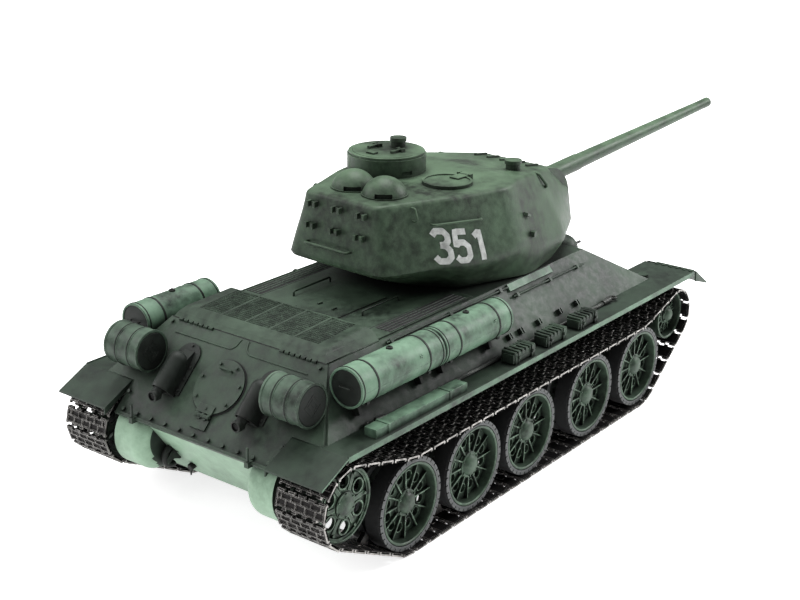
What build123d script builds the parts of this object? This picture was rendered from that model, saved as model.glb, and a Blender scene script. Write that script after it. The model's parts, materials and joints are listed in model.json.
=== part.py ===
from build123d import *
import os
from math import acos, atan2, cos, degrees, hypot, pi, radians, sin, tan

# Radio-controlled model tank, 1:16 size.
# Working frame while modelling: +X forward, +Y left, +Z up, Z = 0 on the ground,
# X = 0 midway between the first and last road wheels. Every node is shifted by
# FRAME_SHIFT on export, so that the origin is the bottom centre of the whole box.

os.makedirs("parts", exist_ok=True)

# ---------------------------------------------------------------- dimensions (mm)
SIDES = {"left": 1, "right": -1}

# running gear
WHEEL_X = (120.0, 60.1, -6.6, -63.2, -120.0)     # front to rear
WHEEL_Z = 27.8
WHEEL_R = 25.9
TRACK_Y = 77.0                                    # middle of the track
TRACK_W = 31.2
TRACK_T = 1.86
WHEEL_W = 26.0
WHEEL_GAP = 5.2                                   # slot for the guide horns
SPROCKET = (-170.2, 47.0)
SPROCKET_R = 20.2
IDLER = (164.0, 49.7)
IDLER_R = 16.0
ROLLER_PHASE = 8.0                                # angle of the sprocket rollers, degrees
LINK_COUNT = 72
LINK_LENGTH = 10.0
HORN_H = 6.0
ARM_REACH = 17.0
ARM_RISE = 8.5
AXLE_R = 2.5
RUNNING_CLEARANCE = 0.05

# hull
BELLY_Z = 25.0
TUB_HALF = 57.0
DRIVE_HOUSING_R = 19.4
WALL = 2.0
SPONSON_HALF = 77.0
FENDER_HALF = 93.75
FENDER_Z = 76.1
FENDER_T = 1.2
ROOF_HALF = 54.5
ROOF_Z = 104.0
ROOF_FRONT_X = 102.0
GLACIS_TAN = tan(radians(30))
REAR_TOP = (-145.3, 104.9)
REAR_T = 2.2
REAR_BOTTOM_S = 61.0                              # length of the rear plate down its slope
FENDER_REAR_X = -175.1
FENDER_FRONT_X = 183.2

# turret
RING_X = 32.0
TURRET_YAW = -3.0                                 # parked heading of the turret, degrees
RING_HOLE_R = 44.6
TRUNNION = (66.0, 129.0)
MANTLET_R = 24.0
MANTLET_HALF = 27.0
GUN_ELEVATION = 4.6                               # parked elevation, degrees
GUN_AXIS_Z = 133.0                                # gun axis where it passes over the trunnion
GUN_TIP = 311.0                                   # muzzle, from the ring centre
TURRET_ROOF_Z = 162.0
CUPOLA = (-30.0, 23.2)
CUPOLA_R = 23.5
CUPOLA_TOP = 174.0
LOADER = (-30.0, -23.2)
LOADER_R = 14.6
DOME_R = 13.4

# side of the turret walls from rear to front, (u, v, corner radius), at rising heights
TURRET_LOW = (106.0, [(-104.6, 41.0, 12.0), (-63.0, 57.0, 40.0), (-10.0, 69.0, 34.0),
                      (52.0, 57.0, 30.0), (95.0, 28.0, 4.0)])
TURRET_MID = (136.0, [(-100.0, 33.5, 9.0), (-57.0, 50.5, 40.0), (-10.0, 61.0, 30.0),
                      (44.0, 48.0, 30.0), (88.5, 28.0, 4.0)])
TURRET_TOP = (163.0, [(-96.0, 26.5, 6.0), (-52.0, 43.5, 40.0), (-10.0, 52.5, 26.0),
                      (28.0, 38.0, 24.0), (57.0, 26.0, 3.0)])
# undercut between the ring collar and the widest line of the walls
BEVEL_LOW = (105.2, [(-56.0, 20.0, 14.0), (-40.0, 42.0, 16.0), (8.0, 57.0, 36.0),
                     (45.0, 48.0, 16.0), (66.0, 22.0, 8.0)])
BEVEL_TOP = (140.0, [(-141.8, 50.8, 16.0), (-78.0, 64.0, 16.0), (-25.0, 72.0, 36.0),
                     (59.0, 64.0, 16.0), (190.0, 49.0, 8.0)])
TURRET_WALL = 3.0
TURRET_ROOF_BREAK_U = 6.0                         # the roof falls towards the gun from here
TURRET_ROOF_SLOPE = 7.8                           # degrees

# gears
RING_MODULE = 1.0
RING_TEETH = 84
TURRET_PINION_TEETH = 12
DRIVE_MODULE = 0.8
SPROCKET_GEAR_TEETH = 24
MOTOR_PINION_TEETH = 10

# openings and fittings; S runs up the sloped plate it is on, H is the height above that plate
HATCH_Y = 20.0
HATCH_S = -29.0
HATCH_W = 34.0
HATCH_L = 34.0
HATCH_PIN_S = HATCH_S + HATCH_L / 2 + 4.6
HATCH_PIN_H = 1.8
MG_Y = -24.0
MG_S = -30.0
MG_PIVOT_H = 2.0
MG_BALL_R = 5.6
MUDFLAP_PIN = (FENDER_FRONT_X + 0.4, FENDER_Z - 0.4)
COVER_S = -29.4
COVER_R = 15.4
COVER_T = 1.3
COVER_PIN_S = COVER_S - COVER_R - 1.9
COVER_PIN_H = 1.5
CANISTER = (-172.0, 95.0)
CANISTER_R = 11.3
CANISTER_Y = (43.4, 68.6)
DRUM = (73.5, 99.4)
DRUM_R = 10.7
DRUM_SPLITS = (-153.0, -83.5, -20.5)
CABLE_R = 1.15
CABLE_Y = 79.7
CABLE_Z = FENDER_Z + CABLE_R + 0.06
DECK_T = 0.9
LID_PIN = (CUPOLA[0] + 1.7, CUPOLA_TOP + 0.9)
LID_STRAPS = (-9.0, 9.0)                          # hinge straps, from the cupola's middle
LOADER_PIN = (LOADER[0] + LOADER_R + 1.6, TURRET_ROOF_Z + 1.9)
BARREL_SLEEVE_R = 5.6
BARREL_ROOT = -24.0
MUZZLE_R = 3.6

# worked out from the above
BOX_REAR_X = -195.0                               # tips of the rear flaps
TURRET_AXIS = Pos(RING_X, 0, 0) * Rot(0, 0, TURRET_YAW)
SLOPE_ANGLE = degrees(atan2(ROOF_Z - FENDER_Z, SPONSON_HALF - ROOF_HALF))
GUN_RISE = (GUN_AXIS_Z - TRUNNION[1]) * cos(radians(GUN_ELEVATION))
MESH_BACKLASH = 0.05
MOTOR_X = SPROCKET[0] + (SPROCKET_GEAR_TEETH + MOTOR_PINION_TEETH) * DRIVE_MODULE / 2 + MESH_BACKLASH
MOTOR_Z = SPROCKET[1]
FINAL_GEAR_Y = 50.0
TRAVERSE_X = (RING_TEETH + TURRET_PINION_TEETH) * RING_MODULE / 2 + MESH_BACKLASH
DECK_Z = ROOF_Z + DECK_T


def muzzle_x():
    """Foremost point of the muzzle in the hull frame."""
    reach = TRUNNION[0] + (GUN_TIP - TRUNNION[0]) * cos(radians(GUN_ELEVATION))
    return RING_X + reach * cos(radians(TURRET_YAW))


FRAME_SHIFT = -(BOX_REAR_X + muzzle_x()) / 2

# ---------------------------------------------------------------- helpers


def box(x0, x1, y0, y1, z0, z1):
    return Pos((x0 + x1) / 2, (y0 + y1) / 2, (z0 + z1) / 2) * Box(x1 - x0, y1 - y0, z1 - z0)


def rod_x(radius, x0, x1, y, z):
    return Pos((x0 + x1) / 2, y, z) * Cylinder(radius, x1 - x0, rotation=(0, 90, 0))


def ball(radius, centre):
    """Sphere whose poles lie along the x axis."""
    return Pos(*centre) * Sphere(radius, rotation=(0, 90, 0))


def rod_y(radius, y0, y1, x, z):
    return Pos(x, (y0 + y1) / 2, z) * Cylinder(radius, y1 - y0, rotation=(90, 0, 0))


def rod_z(radius, z0, z1, x, y):
    return Pos(x, y, (z0 + z1) / 2) * Cylinder(radius, z1 - z0)


def prism_y(points, y0, y1):
    """Polygon of (x, z) points extruded from y0 to y1."""
    outline = Polyline(*[(x, y0, z) for x, z in points], close=True)
    return extrude(make_face(outline), amount=y1 - y0, dir=(0, 1, 0))


def prism_x(points, x0, x1):
    """Polygon of (y, z) points extruded from x0 to x1."""
    outline = Polyline(*[(x0, y, z) for y, z in points], close=True)
    return extrude(make_face(outline), amount=x1 - x0, dir=(1, 0, 0))


def bent_rod(points, bend, radius):
    """Round bar through the points, with bends of the given radius."""
    path = FilletPolyline(*points, radius=bend)
    section = Plane(origin=path @ 0, z_dir=path % 0) * Circle(radius)
    return sweep(section, path=path)


def mirrored(solids):
    return [mirror(solid, about=Plane.XZ) for solid in solids]


def both_sides(solids):
    return solids + mirrored(solids)


def flatten(items):
    solids = []
    for item in items:
        solids.extend(item.solids())
    return solids


def seated(item, hosts):
    """Trim an item to sit on its hosts, keeping the piece outside them."""
    for host in hosts:
        item = item - host
    return max(item.solids(), key=lambda solid: solid.volume)


def span(side, y0, y1):
    """Ordered pair of y values on one side of the hull."""
    return sorted((side * y0, side * y1))


def write(name, items, turret=False):
    """Write one node; turret nodes are modelled about the ring centre and turned with it."""
    place = Pos(FRAME_SHIFT, 0, 0)
    if turret:
        place = place * TURRET_AXIS
    solids = [place * solid for solid in flatten(items)]
    export_step(Compound(children=solids), f"parts/{name}.step")


def ring_of(count, radius, start=0.0):
    """Angles and offsets of features spaced round a circle."""
    for index in range(count):
        angle = start + 360.0 * index / count
        yield angle, radius * cos(radians(angle)), radius * sin(radians(angle))


def round_spots(count, radius, start=0.0):
    """Offsets of features spaced round a circle."""
    return [(dx, dy) for _, dx, dy in ring_of(count, radius, start)]


def gear_outline(teeth, module, phase=0.0):
    """Flat-flanked teeth with backlash, as a closed polygon."""
    pitch_r = teeth * module / 2
    step = 360.0 / teeth
    points = []
    for tooth in range(teeth):
        centre = phase + tooth * step
        for radius, offset in ((pitch_r - 1.15 * module, -0.27), (pitch_r + 0.8 * module, -0.11),
                               (pitch_r + 0.8 * module, 0.11), (pitch_r - 1.15 * module, 0.27)):
            angle = radians(centre + offset * step)
            points.append((radius * cos(angle), radius * sin(angle)))
    return make_face(Polyline(*points, close=True))


# ---------------------------------------------------------------- tracks


def belt_points(circles):
    """Arcs and straights of a belt round signed circles (x, z, radius, sense)."""
    tangents = []
    for index, (x1, z1, r1, s1) in enumerate(circles):
        x2, z2, r2, s2 = circles[(index + 1) % len(circles)]
        dx, dz = x2 - x1, z2 - z1
        length = hypot(dx, dz)
        angle = atan2(dz, dx) - acos((s2 * r2 - s1 * r1) / length)
        nx, nz = cos(angle), sin(angle)
        tangents.append(((x1 - s1 * r1 * nx, z1 - s1 * r1 * nz), (x2 - s2 * r2 * nx, z2 - s2 * r2 * nz)))
    pieces = []
    for index, (x, z, radius, sense) in enumerate(circles):
        arrive = tangents[index - 1][1]
        leave, following = tangents[index]
        start = atan2(arrive[1] - z, arrive[0] - x)
        sweep_angle = (atan2(leave[1] - z, leave[0] - x) - start) * -sense % (2 * pi)
        pieces.append(("arc", radius * sweep_angle, (x, z, radius, sense, start)))
        pieces.append(("line", hypot(following[0] - leave[0], following[1] - leave[1]), (leave, following)))
    return pieces


def belt_at(pieces, distance):
    """Point and heading (degrees) at a distance along the belt."""
    for kind, length, data in pieces:
        if distance > length:
            distance -= length
            continue
        if kind == "line":
            (x1, z1), (x2, z2) = data
            part = distance / length
            return x1 + (x2 - x1) * part, z1 + (z2 - z1) * part, degrees(atan2(z2 - z1, x2 - x1))
        x, z, radius, sense, start = data
        angle = start - sense * distance / radius
        return x + radius * cos(angle), z + radius * sin(angle), degrees(angle) - sense * 90
    return belt_at(pieces, 0.0)


def track_path():
    """Pin line of one track: over the sprocket, along the wheel tops, round the idler and back."""
    half = TRACK_T / 2 + 0.04
    top = WHEEL_Z + WHEEL_R + half
    sag = 55.0
    return belt_points([
        (SPROCKET[0], SPROCKET[1], SPROCKET_R + half, 1),
        (WHEEL_X[4] + 8, top + sag, sag, -1),
        (WHEEL_X[0] - 6, top + sag, sag, -1),
        (IDLER[0], IDLER[1], IDLER_R + half, 1),
        (WHEEL_X[0], WHEEL_Z, WHEEL_R + half, 1),
        (WHEEL_X[4], WHEEL_Z, WHEEL_R + half, 1),
    ])


def track_link(horned):
    """One link, pin line at the origin, travelling along +X, ground side down after the top run."""
    reach = LINK_LENGTH / 2
    half = TRACK_W / 2
    thick = TRACK_T / 2
    plate = box(-reach, reach, -half, half, -thick, thick)
    for y in (-10.4, 0.0, 10.4):
        plate -= box(reach - 1.2, reach, y - 2.6, y + 2.6, -thick, thick)
        plate -= box(-reach, -reach + 1.2, y + 2.6, y + 7.8, -thick, thick)
    for y in (-11.5, 11.5):
        plate -= box(-2.6, 2.6, y - 2.4, y + 2.4, thick - 0.5, thick)
    if horned:
        horn = [(-3.6, -thick), (3.6, -thick), (1.5, -thick - HORN_H), (-1.5, -thick - HORN_H)]
        plate += prism_y(horn, -1.6, 1.6)
    return plate


def track(side):
    pieces = track_path()
    total = sum(length for _, length, _ in pieces)
    pitch = total / LINK_COUNT
    shapes = {flag: track_link(flag) for flag in (False, True)}
    links = []
    for index in range(LINK_COUNT):
        x, z, heading = belt_at(pieces, (index + 0.5) * pitch)
        links.append(Pos(x, side * TRACK_Y, z) * Rot(0, -heading, 0) * shapes[index % 2 == 0])
    return links


# ---------------------------------------------------------------- wheels (left side, mirrored for the right)


def revolve_y(points, x, z):
    """Profile of (radius, y) points turned about the wheel's axle."""
    outline = Polyline(*[(radius, y, 0) for radius, y in points], close=True)
    return Pos(x, 0, z) * revolve(make_face(outline), axis=Axis.Y)


def wheel_disc(x, z, rim_r, hub_r, y_plate, y_hub, y_rim, ribs, hole_r, hole_at, direction):
    """Disc with tapering radial ribs and lightening holes; direction points to the ribbed face."""
    low, high = sorted((y_plate, y_plate + 1.1 * direction))
    disc = rod_y(rim_r, low, high, x, z)
    for dx, dz in round_spots(ribs, hole_at, 180.0 / ribs):
        disc -= rod_y(hole_r, low, high, x + dx, z + dz)
    rib_face = Polyline((hub_r - 1.0, y_plate, -0.45), (rim_r - 0.2, y_plate, -0.45),
                        (rim_r - 0.2, y_rim, -0.45), (hub_r - 1.0, y_hub, -0.45), close=True)
    rib = extrude(make_face(rib_face), amount=0.9, dir=(0, 0, 1))
    for angle, _, _ in ring_of(ribs, 1.0):
        disc += Pos(x, 0, z) * Rot(0, angle, 0) * rib
    return disc


def road_wheel(x):
    """Twin-disc road wheel: casting, two rubber tyres and a bolted hub cap."""
    y_in = TRACK_Y - WHEEL_W / 2
    y_out = TRACK_Y + WHEEL_W / 2
    gap_in = TRACK_Y - WHEEL_GAP / 2
    gap_out = TRACK_Y + WHEEL_GAP / 2
    rim_r = 22.6
    bore = AXLE_R + RUNNING_CLEARANCE
    casting = revolve_y([(bore, y_in + 0.4), (8.0, y_in + 0.4), (8.0, y_out - 4.2), (bore, y_out - 4.2)],
                        x, WHEEL_Z)
    for y0, y1 in ((y_in + 0.5, gap_in), (gap_out, y_out - 0.4)):
        casting += revolve_y([(20.8, y0), (rim_r, y0), (rim_r, y1), (20.8, y1)], x, WHEEL_Z)
    casting += wheel_disc(x, WHEEL_Z, 21.2, 8.0, gap_out + 1.6, y_out - 4.4, gap_out + 4.4, 12, 1.9, 15.2, 1)
    casting += wheel_disc(x, WHEEL_Z, 21.2, 8.0, gap_in - 1.6, y_in + 2.4, gap_in - 4.4, 12, 1.9, 15.2, -1)
    casting -= rod_y(bore, y_in, y_out, x, WHEEL_Z)
    outer_tyre = revolve_y([(rim_r, gap_out), (WHEEL_R - 0.5, gap_out), (WHEEL_R, gap_out + 0.5),
                            (WHEEL_R, y_out - 0.7), (WHEEL_R - 0.7, y_out), (rim_r, y_out)], x, WHEEL_Z)
    inner_tyre = revolve_y([(rim_r, y_in), (WHEEL_R - 0.7, y_in), (WHEEL_R, y_in + 0.7),
                            (WHEEL_R, gap_in - 0.5), (WHEEL_R - 0.5, gap_in), (rim_r, gap_in)], x, WHEEL_Z)
    cap_y = y_out - 4.2
    cap = revolve_y([(0, cap_y), (7.4, cap_y), (7.4, cap_y + 1.6), (6.0, cap_y + 2.2), (4.6, cap_y + 3.4),
                     (2.4, cap_y + 4.0), (0, cap_y + 4.0)], x, WHEEL_Z)
    for dx, dz in round_spots(6, 6.4):
        cap += rod_y(0.6, cap_y + 1.4, cap_y + 2.4, x + dx, WHEEL_Z + dz)
    return [casting, outer_tyre, inner_tyre, cap]


def swing_arm(x):
    """Trailing arm with its pivot shaft in the hull side and the axle of one road wheel."""
    y_arm = (TUB_HALF + 1.6, TRACK_Y - WHEEL_W / 2 - 1.4)
    pivot_x = x + ARM_REACH
    pivot_z = WHEEL_Z + ARM_RISE
    heading = degrees(atan2(-ARM_RISE, -ARM_REACH))
    web = Pos((x + pivot_x) / 2, sum(y_arm) / 2, (WHEEL_Z + pivot_z) / 2) * Rot(0, -heading, 0) * Box(
        hypot(ARM_REACH, ARM_RISE), y_arm[1] - y_arm[0], 6.0)
    arm = web + rod_y(4.6, *y_arm, x, WHEEL_Z) + rod_y(5.4, *y_arm, pivot_x, pivot_z)
    arm += rod_y(3.0, TUB_HALF - 7.0, y_arm[0] + 1, pivot_x, pivot_z)
    arm += rod_y(AXLE_R, y_arm[1] - 1, TRACK_Y + WHEEL_W / 2 - 4.4, x, WHEEL_Z)
    return [arm]


def drive_sprocket():
    """Roller sprocket: two rimmed discs, six rollers, hub cap, shaft and the final gear on it."""
    x, z = SPROCKET
    y_in, y_out = TRACK_Y - 9.5, TRACK_Y + 9.5
    shaft_r = 3.0
    body = rod_y(8.0, y_in, y_out, x, z)
    for y0, y1 in ((y_in, y_in + 2.4), (y_out - 2.4, y_out)):
        disc = rod_y(SPROCKET_R, y0, y1, x, z)
        for dx, dz in round_spots(6, 13.2, 30):
            disc -= rod_y(2.9, y0, y1, x + dx, z + dz)
        body += disc
    rim = revolve_y([(16.8, y_out), (19.4, y_out), (19.4, y_out + 0.7), (16.8, y_out + 0.7)], x, z)
    body += rim
    for dx, dz in round_spots(12, 18.1, 15):
        body += rod_y(0.6, y_out + 0.5, y_out + 1.3, x + dx, z + dz)
    for dx, dz in round_spots(6, 15.6, ROLLER_PHASE):
        body += rod_y(1.7, y_in + 1, y_out - 1, x + dx, z + dz)
    cap = revolve_y([(0, y_out), (7.0, y_out), (7.0, y_out + 1.4), (5.2, y_out + 2.6), (0, y_out + 3.0)],
                    x, z)
    for dx, dz in round_spots(6, 5.9):
        cap += rod_y(0.6, y_out + 1.4, y_out + 2.4, x + dx, z + dz)
    shaft = rod_y(shaft_r, 40.0, y_in, x, z)
    teeth = extrude(gear_outline(SPROCKET_GEAR_TEETH, DRIVE_MODULE), 4.0)
    gear = Pos(x, FINAL_GEAR_Y, z) * Rot(90, 0, 0) * teeth
    gear -= rod_y(shaft_r, 40.0, 60.0, x, z)
    return [body + shaft, cap, gear]


def idler_wheel():
    """Ribbed all-metal idler with a domed cap, turning on the hull's tension axle."""
    x, z = IDLER
    y_in, y_out = TRACK_Y - 10.5, TRACK_Y + 10.5
    gap_in, gap_out = TRACK_Y - WHEEL_GAP / 2, TRACK_Y + WHEEL_GAP / 2
    bore = AXLE_R + RUNNING_CLEARANCE
    body = rod_y(6.4, y_in, y_out - 3, x, z)
    for y0, y1 in ((y_in, gap_in), (gap_out, y_out)):
        body += revolve_y([(14.2, y0), (IDLER_R, y0), (IDLER_R, y1), (14.2, y1)], x, z)
    body += wheel_disc(x, z, 14.6, 6.4, gap_out + 1.2, y_out - 3.2, gap_out + 3.4, 12, 1.1, 10.8, 1)
    body += wheel_disc(x, z, 14.6, 6.4, gap_in - 1.2, y_in + 1.4, gap_in - 3.4, 12, 1.1, 10.8, -1)
    body -= rod_y(bore, y_in, y_out, x, z)
    cap_outline = [(0, y_out - 3), (5.6, y_out - 3), (5.6, y_out - 1.6), (3.6, y_out + 0.2), (0, y_out + 0.8)]
    cap = revolve_y(cap_outline, x, z)
    return [body, cap]


# ---------------------------------------------------------------- hull


def glacis_z(x, depth=0.0):
    """Height of the sloped front plate, or of a plane this deep under it."""
    return ROOF_Z - (x - ROOF_FRONT_X) * GLACIS_TAN - depth / cos(radians(30))


def glacis_x(z, depth=0.0):
    return ROOF_FRONT_X + (ROOF_Z - depth / cos(radians(30)) - z) / GLACIS_TAN


def rear_x(z, depth=0.0):
    """X of the 45 degree rear plate's outer face, or of a plane this deep under it."""
    return REAR_TOP[0] - (REAR_TOP[1] - z) + depth * 2 ** 0.5


def lower_hull():
    """Open tub with final-drive housings, idler axles, belly opening and shaft bores."""
    top = FENDER_Z - FENDER_T
    low_front, nose = (152.0, BELLY_Z), (179.5, glacis_z(179.5, REAR_T))
    outer = [(-159.0, BELLY_Z), low_front, nose, (glacis_x(top, REAR_T), top), (rear_x(top, REAR_T), top),
             (rear_x(61.6, REAR_T), 61.6)]
    inner = [(-157.6, BELLY_Z + WALL), (150.8, BELLY_Z + WALL), (176.4, 57.0), (146.0, top + 1),
             (-170.0, top + 1), (-183.0, 62.0)]
    tub = prism_y(outer, -TUB_HALF, TUB_HALF)
    housing = rod_y(DRIVE_HOUSING_R, 36.0, TUB_HALF, *SPROCKET)
    housing = fillet(housing.edges().sort_by(Axis.Y)[0], 8.0)
    for bulge in both_sides([housing]):
        tub += bulge
    tub -= prism_y(inner, -TUB_HALF + WALL, TUB_HALF - WALL)
    shaft_bore_r = 3.0 + RUNNING_CLEARANCE
    for side in (1, -1):
        tub -= rod_y(DRIVE_HOUSING_R - 2.4, *span(side, 43.0, TUB_HALF - WALL), *SPROCKET)
        tub -= rod_y(shaft_bore_r, *span(side, 40.0, 60.0), *SPROCKET)
        for x in WHEEL_X:
            tub -= rod_y(shaft_bore_r, *span(side, 40.0, 60.0), x + ARM_REACH, WHEEL_Z + ARM_RISE)
        tub += rod_y(AXLE_R, *span(side, TUB_HALF - WALL, TRACK_Y + 7.4), *IDLER)
        tub += rod_y(5.0, *span(side, TUB_HALF - WALL, TUB_HALF + 3), *IDLER)
    tub -= box(-66, -4, -24, 24, BELLY_Z, BELLY_Z + WALL)
    tub -= box(24, 34, -4, 4, BELLY_Z, BELLY_Z + WALL)
    return [tub]


def battery_door():
    """Belly door in front of the battery, sliding rearward in two rails."""
    z = BELLY_Z
    door = box(-68, -2, -26, 26, z - 1.5, z - 0.1)
    for x in (-14, -10, -6):
        door += box(x - 0.6, x + 0.6, -10, 10, z - 2.1, z - 1.5)
    return [door]


def door_rails():
    """Two lipped rails under the belly that hold the sliding door."""
    bottom = BELLY_Z - 2.4
    rail = box(-104, 0, 26.2, 28.4, bottom, BELLY_Z) + box(-104, 0, 24.2, 28.4, bottom, BELLY_Z - 1.65)
    return both_sides([rail])


def upper_hull():
    """Sloped casemate shell with the glacis, the turret opening and the engine openings."""
    base = FENDER_Z
    section = [(-SPONSON_HALF, base), (SPONSON_HALF, base), (ROOF_HALF, ROOF_Z), (-ROOF_HALF, ROOF_Z)]
    side_view = [(rear_x(base, REAR_T), base), (glacis_x(base), base), (ROOF_FRONT_X, ROOF_Z),
                 (rear_x(ROOF_Z, REAR_T), ROOF_Z)]
    shell = prism_x(section, -180, 160) & prism_y(side_view, -90, 90)
    inner_section = [(-SPONSON_HALF + 2.7, base - 1), (SPONSON_HALF - 2.7, base - 1),
                     (ROOF_HALF - 1.4, ROOF_Z - WALL), (-ROOF_HALF + 1.4, ROOF_Z - WALL)]
    inner_view = [(rear_x(base - 1, REAR_T) + 3, base - 1), (glacis_x(base - 1, REAR_T), base - 1),
                  (glacis_x(ROOF_Z - WALL, REAR_T), ROOF_Z - WALL),
                  (rear_x(ROOF_Z - WALL, REAR_T) + 3, ROOF_Z - WALL)]
    shell -= prism_x(inner_section, -180, 160) & prism_y(inner_view, -90, 90)
    nose_x = 182.0
    nose = [(glacis_x(base), base), (nose_x, glacis_z(nose_x)), (nose_x - 1.2, glacis_z(nose_x) - 1.6),
            (179.5, glacis_z(179.5, REAR_T)), (glacis_x(base, REAR_T), base)]
    shell += prism_y(nose, -TUB_HALF, TUB_HALF)
    shell -= rod_z(RING_HOLE_R, ROOF_Z - 5, ROOF_Z + 5, RING_X, 0)
    shell -= box(-98, -18, -38, 38, ROOF_Z - 5, ROOF_Z + 5)
    shell -= box(-137, -106, -44, 44, ROOF_Z - 5, ROOF_Z + 5)
    shell -= glacis_local() * Pos(HATCH_Y, HATCH_S, 0) * Box(HATCH_W - 3, HATCH_L - 3, 12)
    shell -= glacis_local() * Pos(MG_Y, MG_S, MG_PIVOT_H) * Sphere(MG_BALL_R + 0.3)
    return [shell]


def glacis_local():
    """Frame on the front plate: x to the left, y up the slope, z outward."""
    normal = (0.5, 0, cos(radians(30)))
    return Plane(origin=(ROOF_FRONT_X, 0, ROOF_Z), x_dir=(0, 1, 0), z_dir=normal).location


def rear_local():
    """Frame on the rear plate: x to the right, y up the slope, z outward."""
    root = 2 ** -0.5
    return Plane(origin=(REAR_TOP[0], 0, REAR_TOP[1]), x_dir=(0, -1, 0), z_dir=(-root, 0, root)).location


def fenders():
    """Flat track guards with a raised edge bead and a sloped rear flap."""
    z0, z1 = FENDER_Z - FENDER_T, FENDER_Z
    inner = TUB_HALF
    guard = box(FENDER_REAR_X, FENDER_FRONT_X - 1.0, inner, FENDER_HALF, z0, z1)
    guard += box(FENDER_REAR_X, FENDER_FRONT_X - 1.0, FENDER_HALF - 0.9, FENDER_HALF, z0 - 1.6, z1 + 0.5)
    flap = [(FENDER_REAR_X, z0), (FENDER_REAR_X, z1), (BOX_REAR_X, 66.6), (BOX_REAR_X, 65.5)]
    guard += prism_y(flap, inner, FENDER_HALF)
    guard += prism_y([(FENDER_REAR_X, z1), (BOX_REAR_X, 66.6), (BOX_REAR_X, 62.6), (FENDER_REAR_X, z0 - 1.6)],
                     inner, inner + 0.9)
    for x in (-150.0, -95.0, -40.0, 30.0, 100.0, 150.0):
        guard += box(x - 0.5, x + 0.5, SPONSON_HALF + 1, FENDER_HALF - 0.9, z0 - 1.2, z0)
    return both_sides([guard])


def mudflap(side):
    """Hinged front flap with knuckles and a side cheek."""
    x, z = MUDFLAP_PIN
    tip_x, tip_z = 202.0, 63.6
    leaf = [(x + 1.6, z + 0.1), (tip_x, tip_z + 0.6), (tip_x - 0.6, tip_z - 0.4), (x + 1.5, z - 0.9)]
    cheek = [(x + 1.6, z - 0.6), (tip_x - 0.4, tip_z), (x + 1.6, z - 7.0)]
    panel = prism_y(leaf, TUB_HALF, FENDER_HALF) + prism_y(cheek, FENDER_HALF - 1.0, FENDER_HALF)
    for index in range(5):
        y = 67.6 + index * 5.0
        panel += rod_y(1.2, y, y + 2.3, x, z) + box(x, x + 2.6, y, y + 2.3, z - 0.9, z + 0.3)
    panel -= rod_y(0.6, 60, 95, x, z)
    return [panel] if side > 0 else mirrored([panel])


def mudflap_hinges():
    """Fixed knuckles and pins of the two front flaps."""
    x, z = MUDFLAP_PIN
    pieces = []
    for index in range(6):
        y = 65.1 + index * 5.0
        knuckle = rod_y(1.2, y + 0.1, y + 2.4, x, z) + box(x - 3.0, x, y + 0.1, y + 2.4, FENDER_Z, z + 1.0)
        pieces.append(knuckle - rod_y(0.5, 60, 95, x, z))
    pieces.append(rod_y(0.5, 65.2, 92.5, x, z))
    return both_sides(pieces)


def rear_plate():
    """Sloped plate across the stern with its access hole, hinge flaps and lower ledge."""
    side_s = (REAR_TOP[1] - FENDER_Z) * 2 ** 0.5
    half = [(55.2, 0), (SPONSON_HALF - 0.2, -side_s), (TUB_HALF, -side_s), (TUB_HALF, -REAR_BOTTOM_S)]
    points = half + [(-x, y) for x, y in reversed(half)]
    outline = make_face(Polyline(*[(x, y, 0) for x, y in points], close=True))
    plate = extrude(outline, -REAR_T + 0.05)
    plate -= Pos(0, COVER_S, 0) * Cylinder(13.6, 20)
    for side in (1, -1):
        bend = [(side * 47.0, -8.2, 0), (side * 4.5, -8.2, 0), (side * 2.6, -1.2, 0)]
        path = FilletPolyline(*bend, radius=5.0)
        plate += sweep(Plane(origin=path @ 0, z_dir=path % 0) * Circle(0.45), path=path)
        for index in range(7):
            plate += Pos(side * (25.2 + index * 3.7), -0.6, 0.3) * Cylinder(0.9, 2.7, rotation=(0, 90, 0))
    plate += Pos(0, -REAR_BOTTOM_S + 0.8, 0.4) * Box(2 * TUB_HALF - 6, 1.6, 2.0)
    plate = rear_local() * plate
    for side in (1, -1):
        plate -= box(-190.0, -150.0, *span(side, TUB_HALF, FENDER_HALF), 50.0, FENDER_Z + 0.02)
    return [plate]


def rear_access_cover():
    """Round bolted cover with a grab handle and three hinge knuckles."""
    disc = Pos(0, COVER_S, COVER_T / 2 + 0.05) * Cylinder(COVER_R, COVER_T)
    for dx, dy in round_spots(7, 13.2, 65):
        disc += Pos(dx, COVER_S + dy, COVER_T + 0.6) * Cylinder(0.8, 1.4)
    disc += Pos(0, COVER_S + 9.4, COVER_T + 1.7) * Cylinder(0.5, 8.0, rotation=(0, 90, 0))
    for x in (-3.8, 3.8):
        disc += Pos(x, COVER_S + 9.4, COVER_T + 0.9) * Cylinder(0.5, 2.0)
    disc += Pos(0, COVER_PIN_S + 4.0, COVER_T + 0.3) * Box(10.8, 4.6, 1.0)
    for x in (-3.9, 0.0, 3.9):
        disc += Pos(x, COVER_PIN_S, COVER_PIN_H) * Cylinder(1.1, 1.8, rotation=(0, 90, 0))
        disc += Pos(x, COVER_PIN_S + 1.1, COVER_PIN_H) * Box(1.8, 2.2, 0.9)
    disc -= Pos(0, COVER_PIN_S, COVER_PIN_H) * Cylinder(0.55, 14, rotation=(0, 90, 0))
    return [rear_local() * disc]


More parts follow.
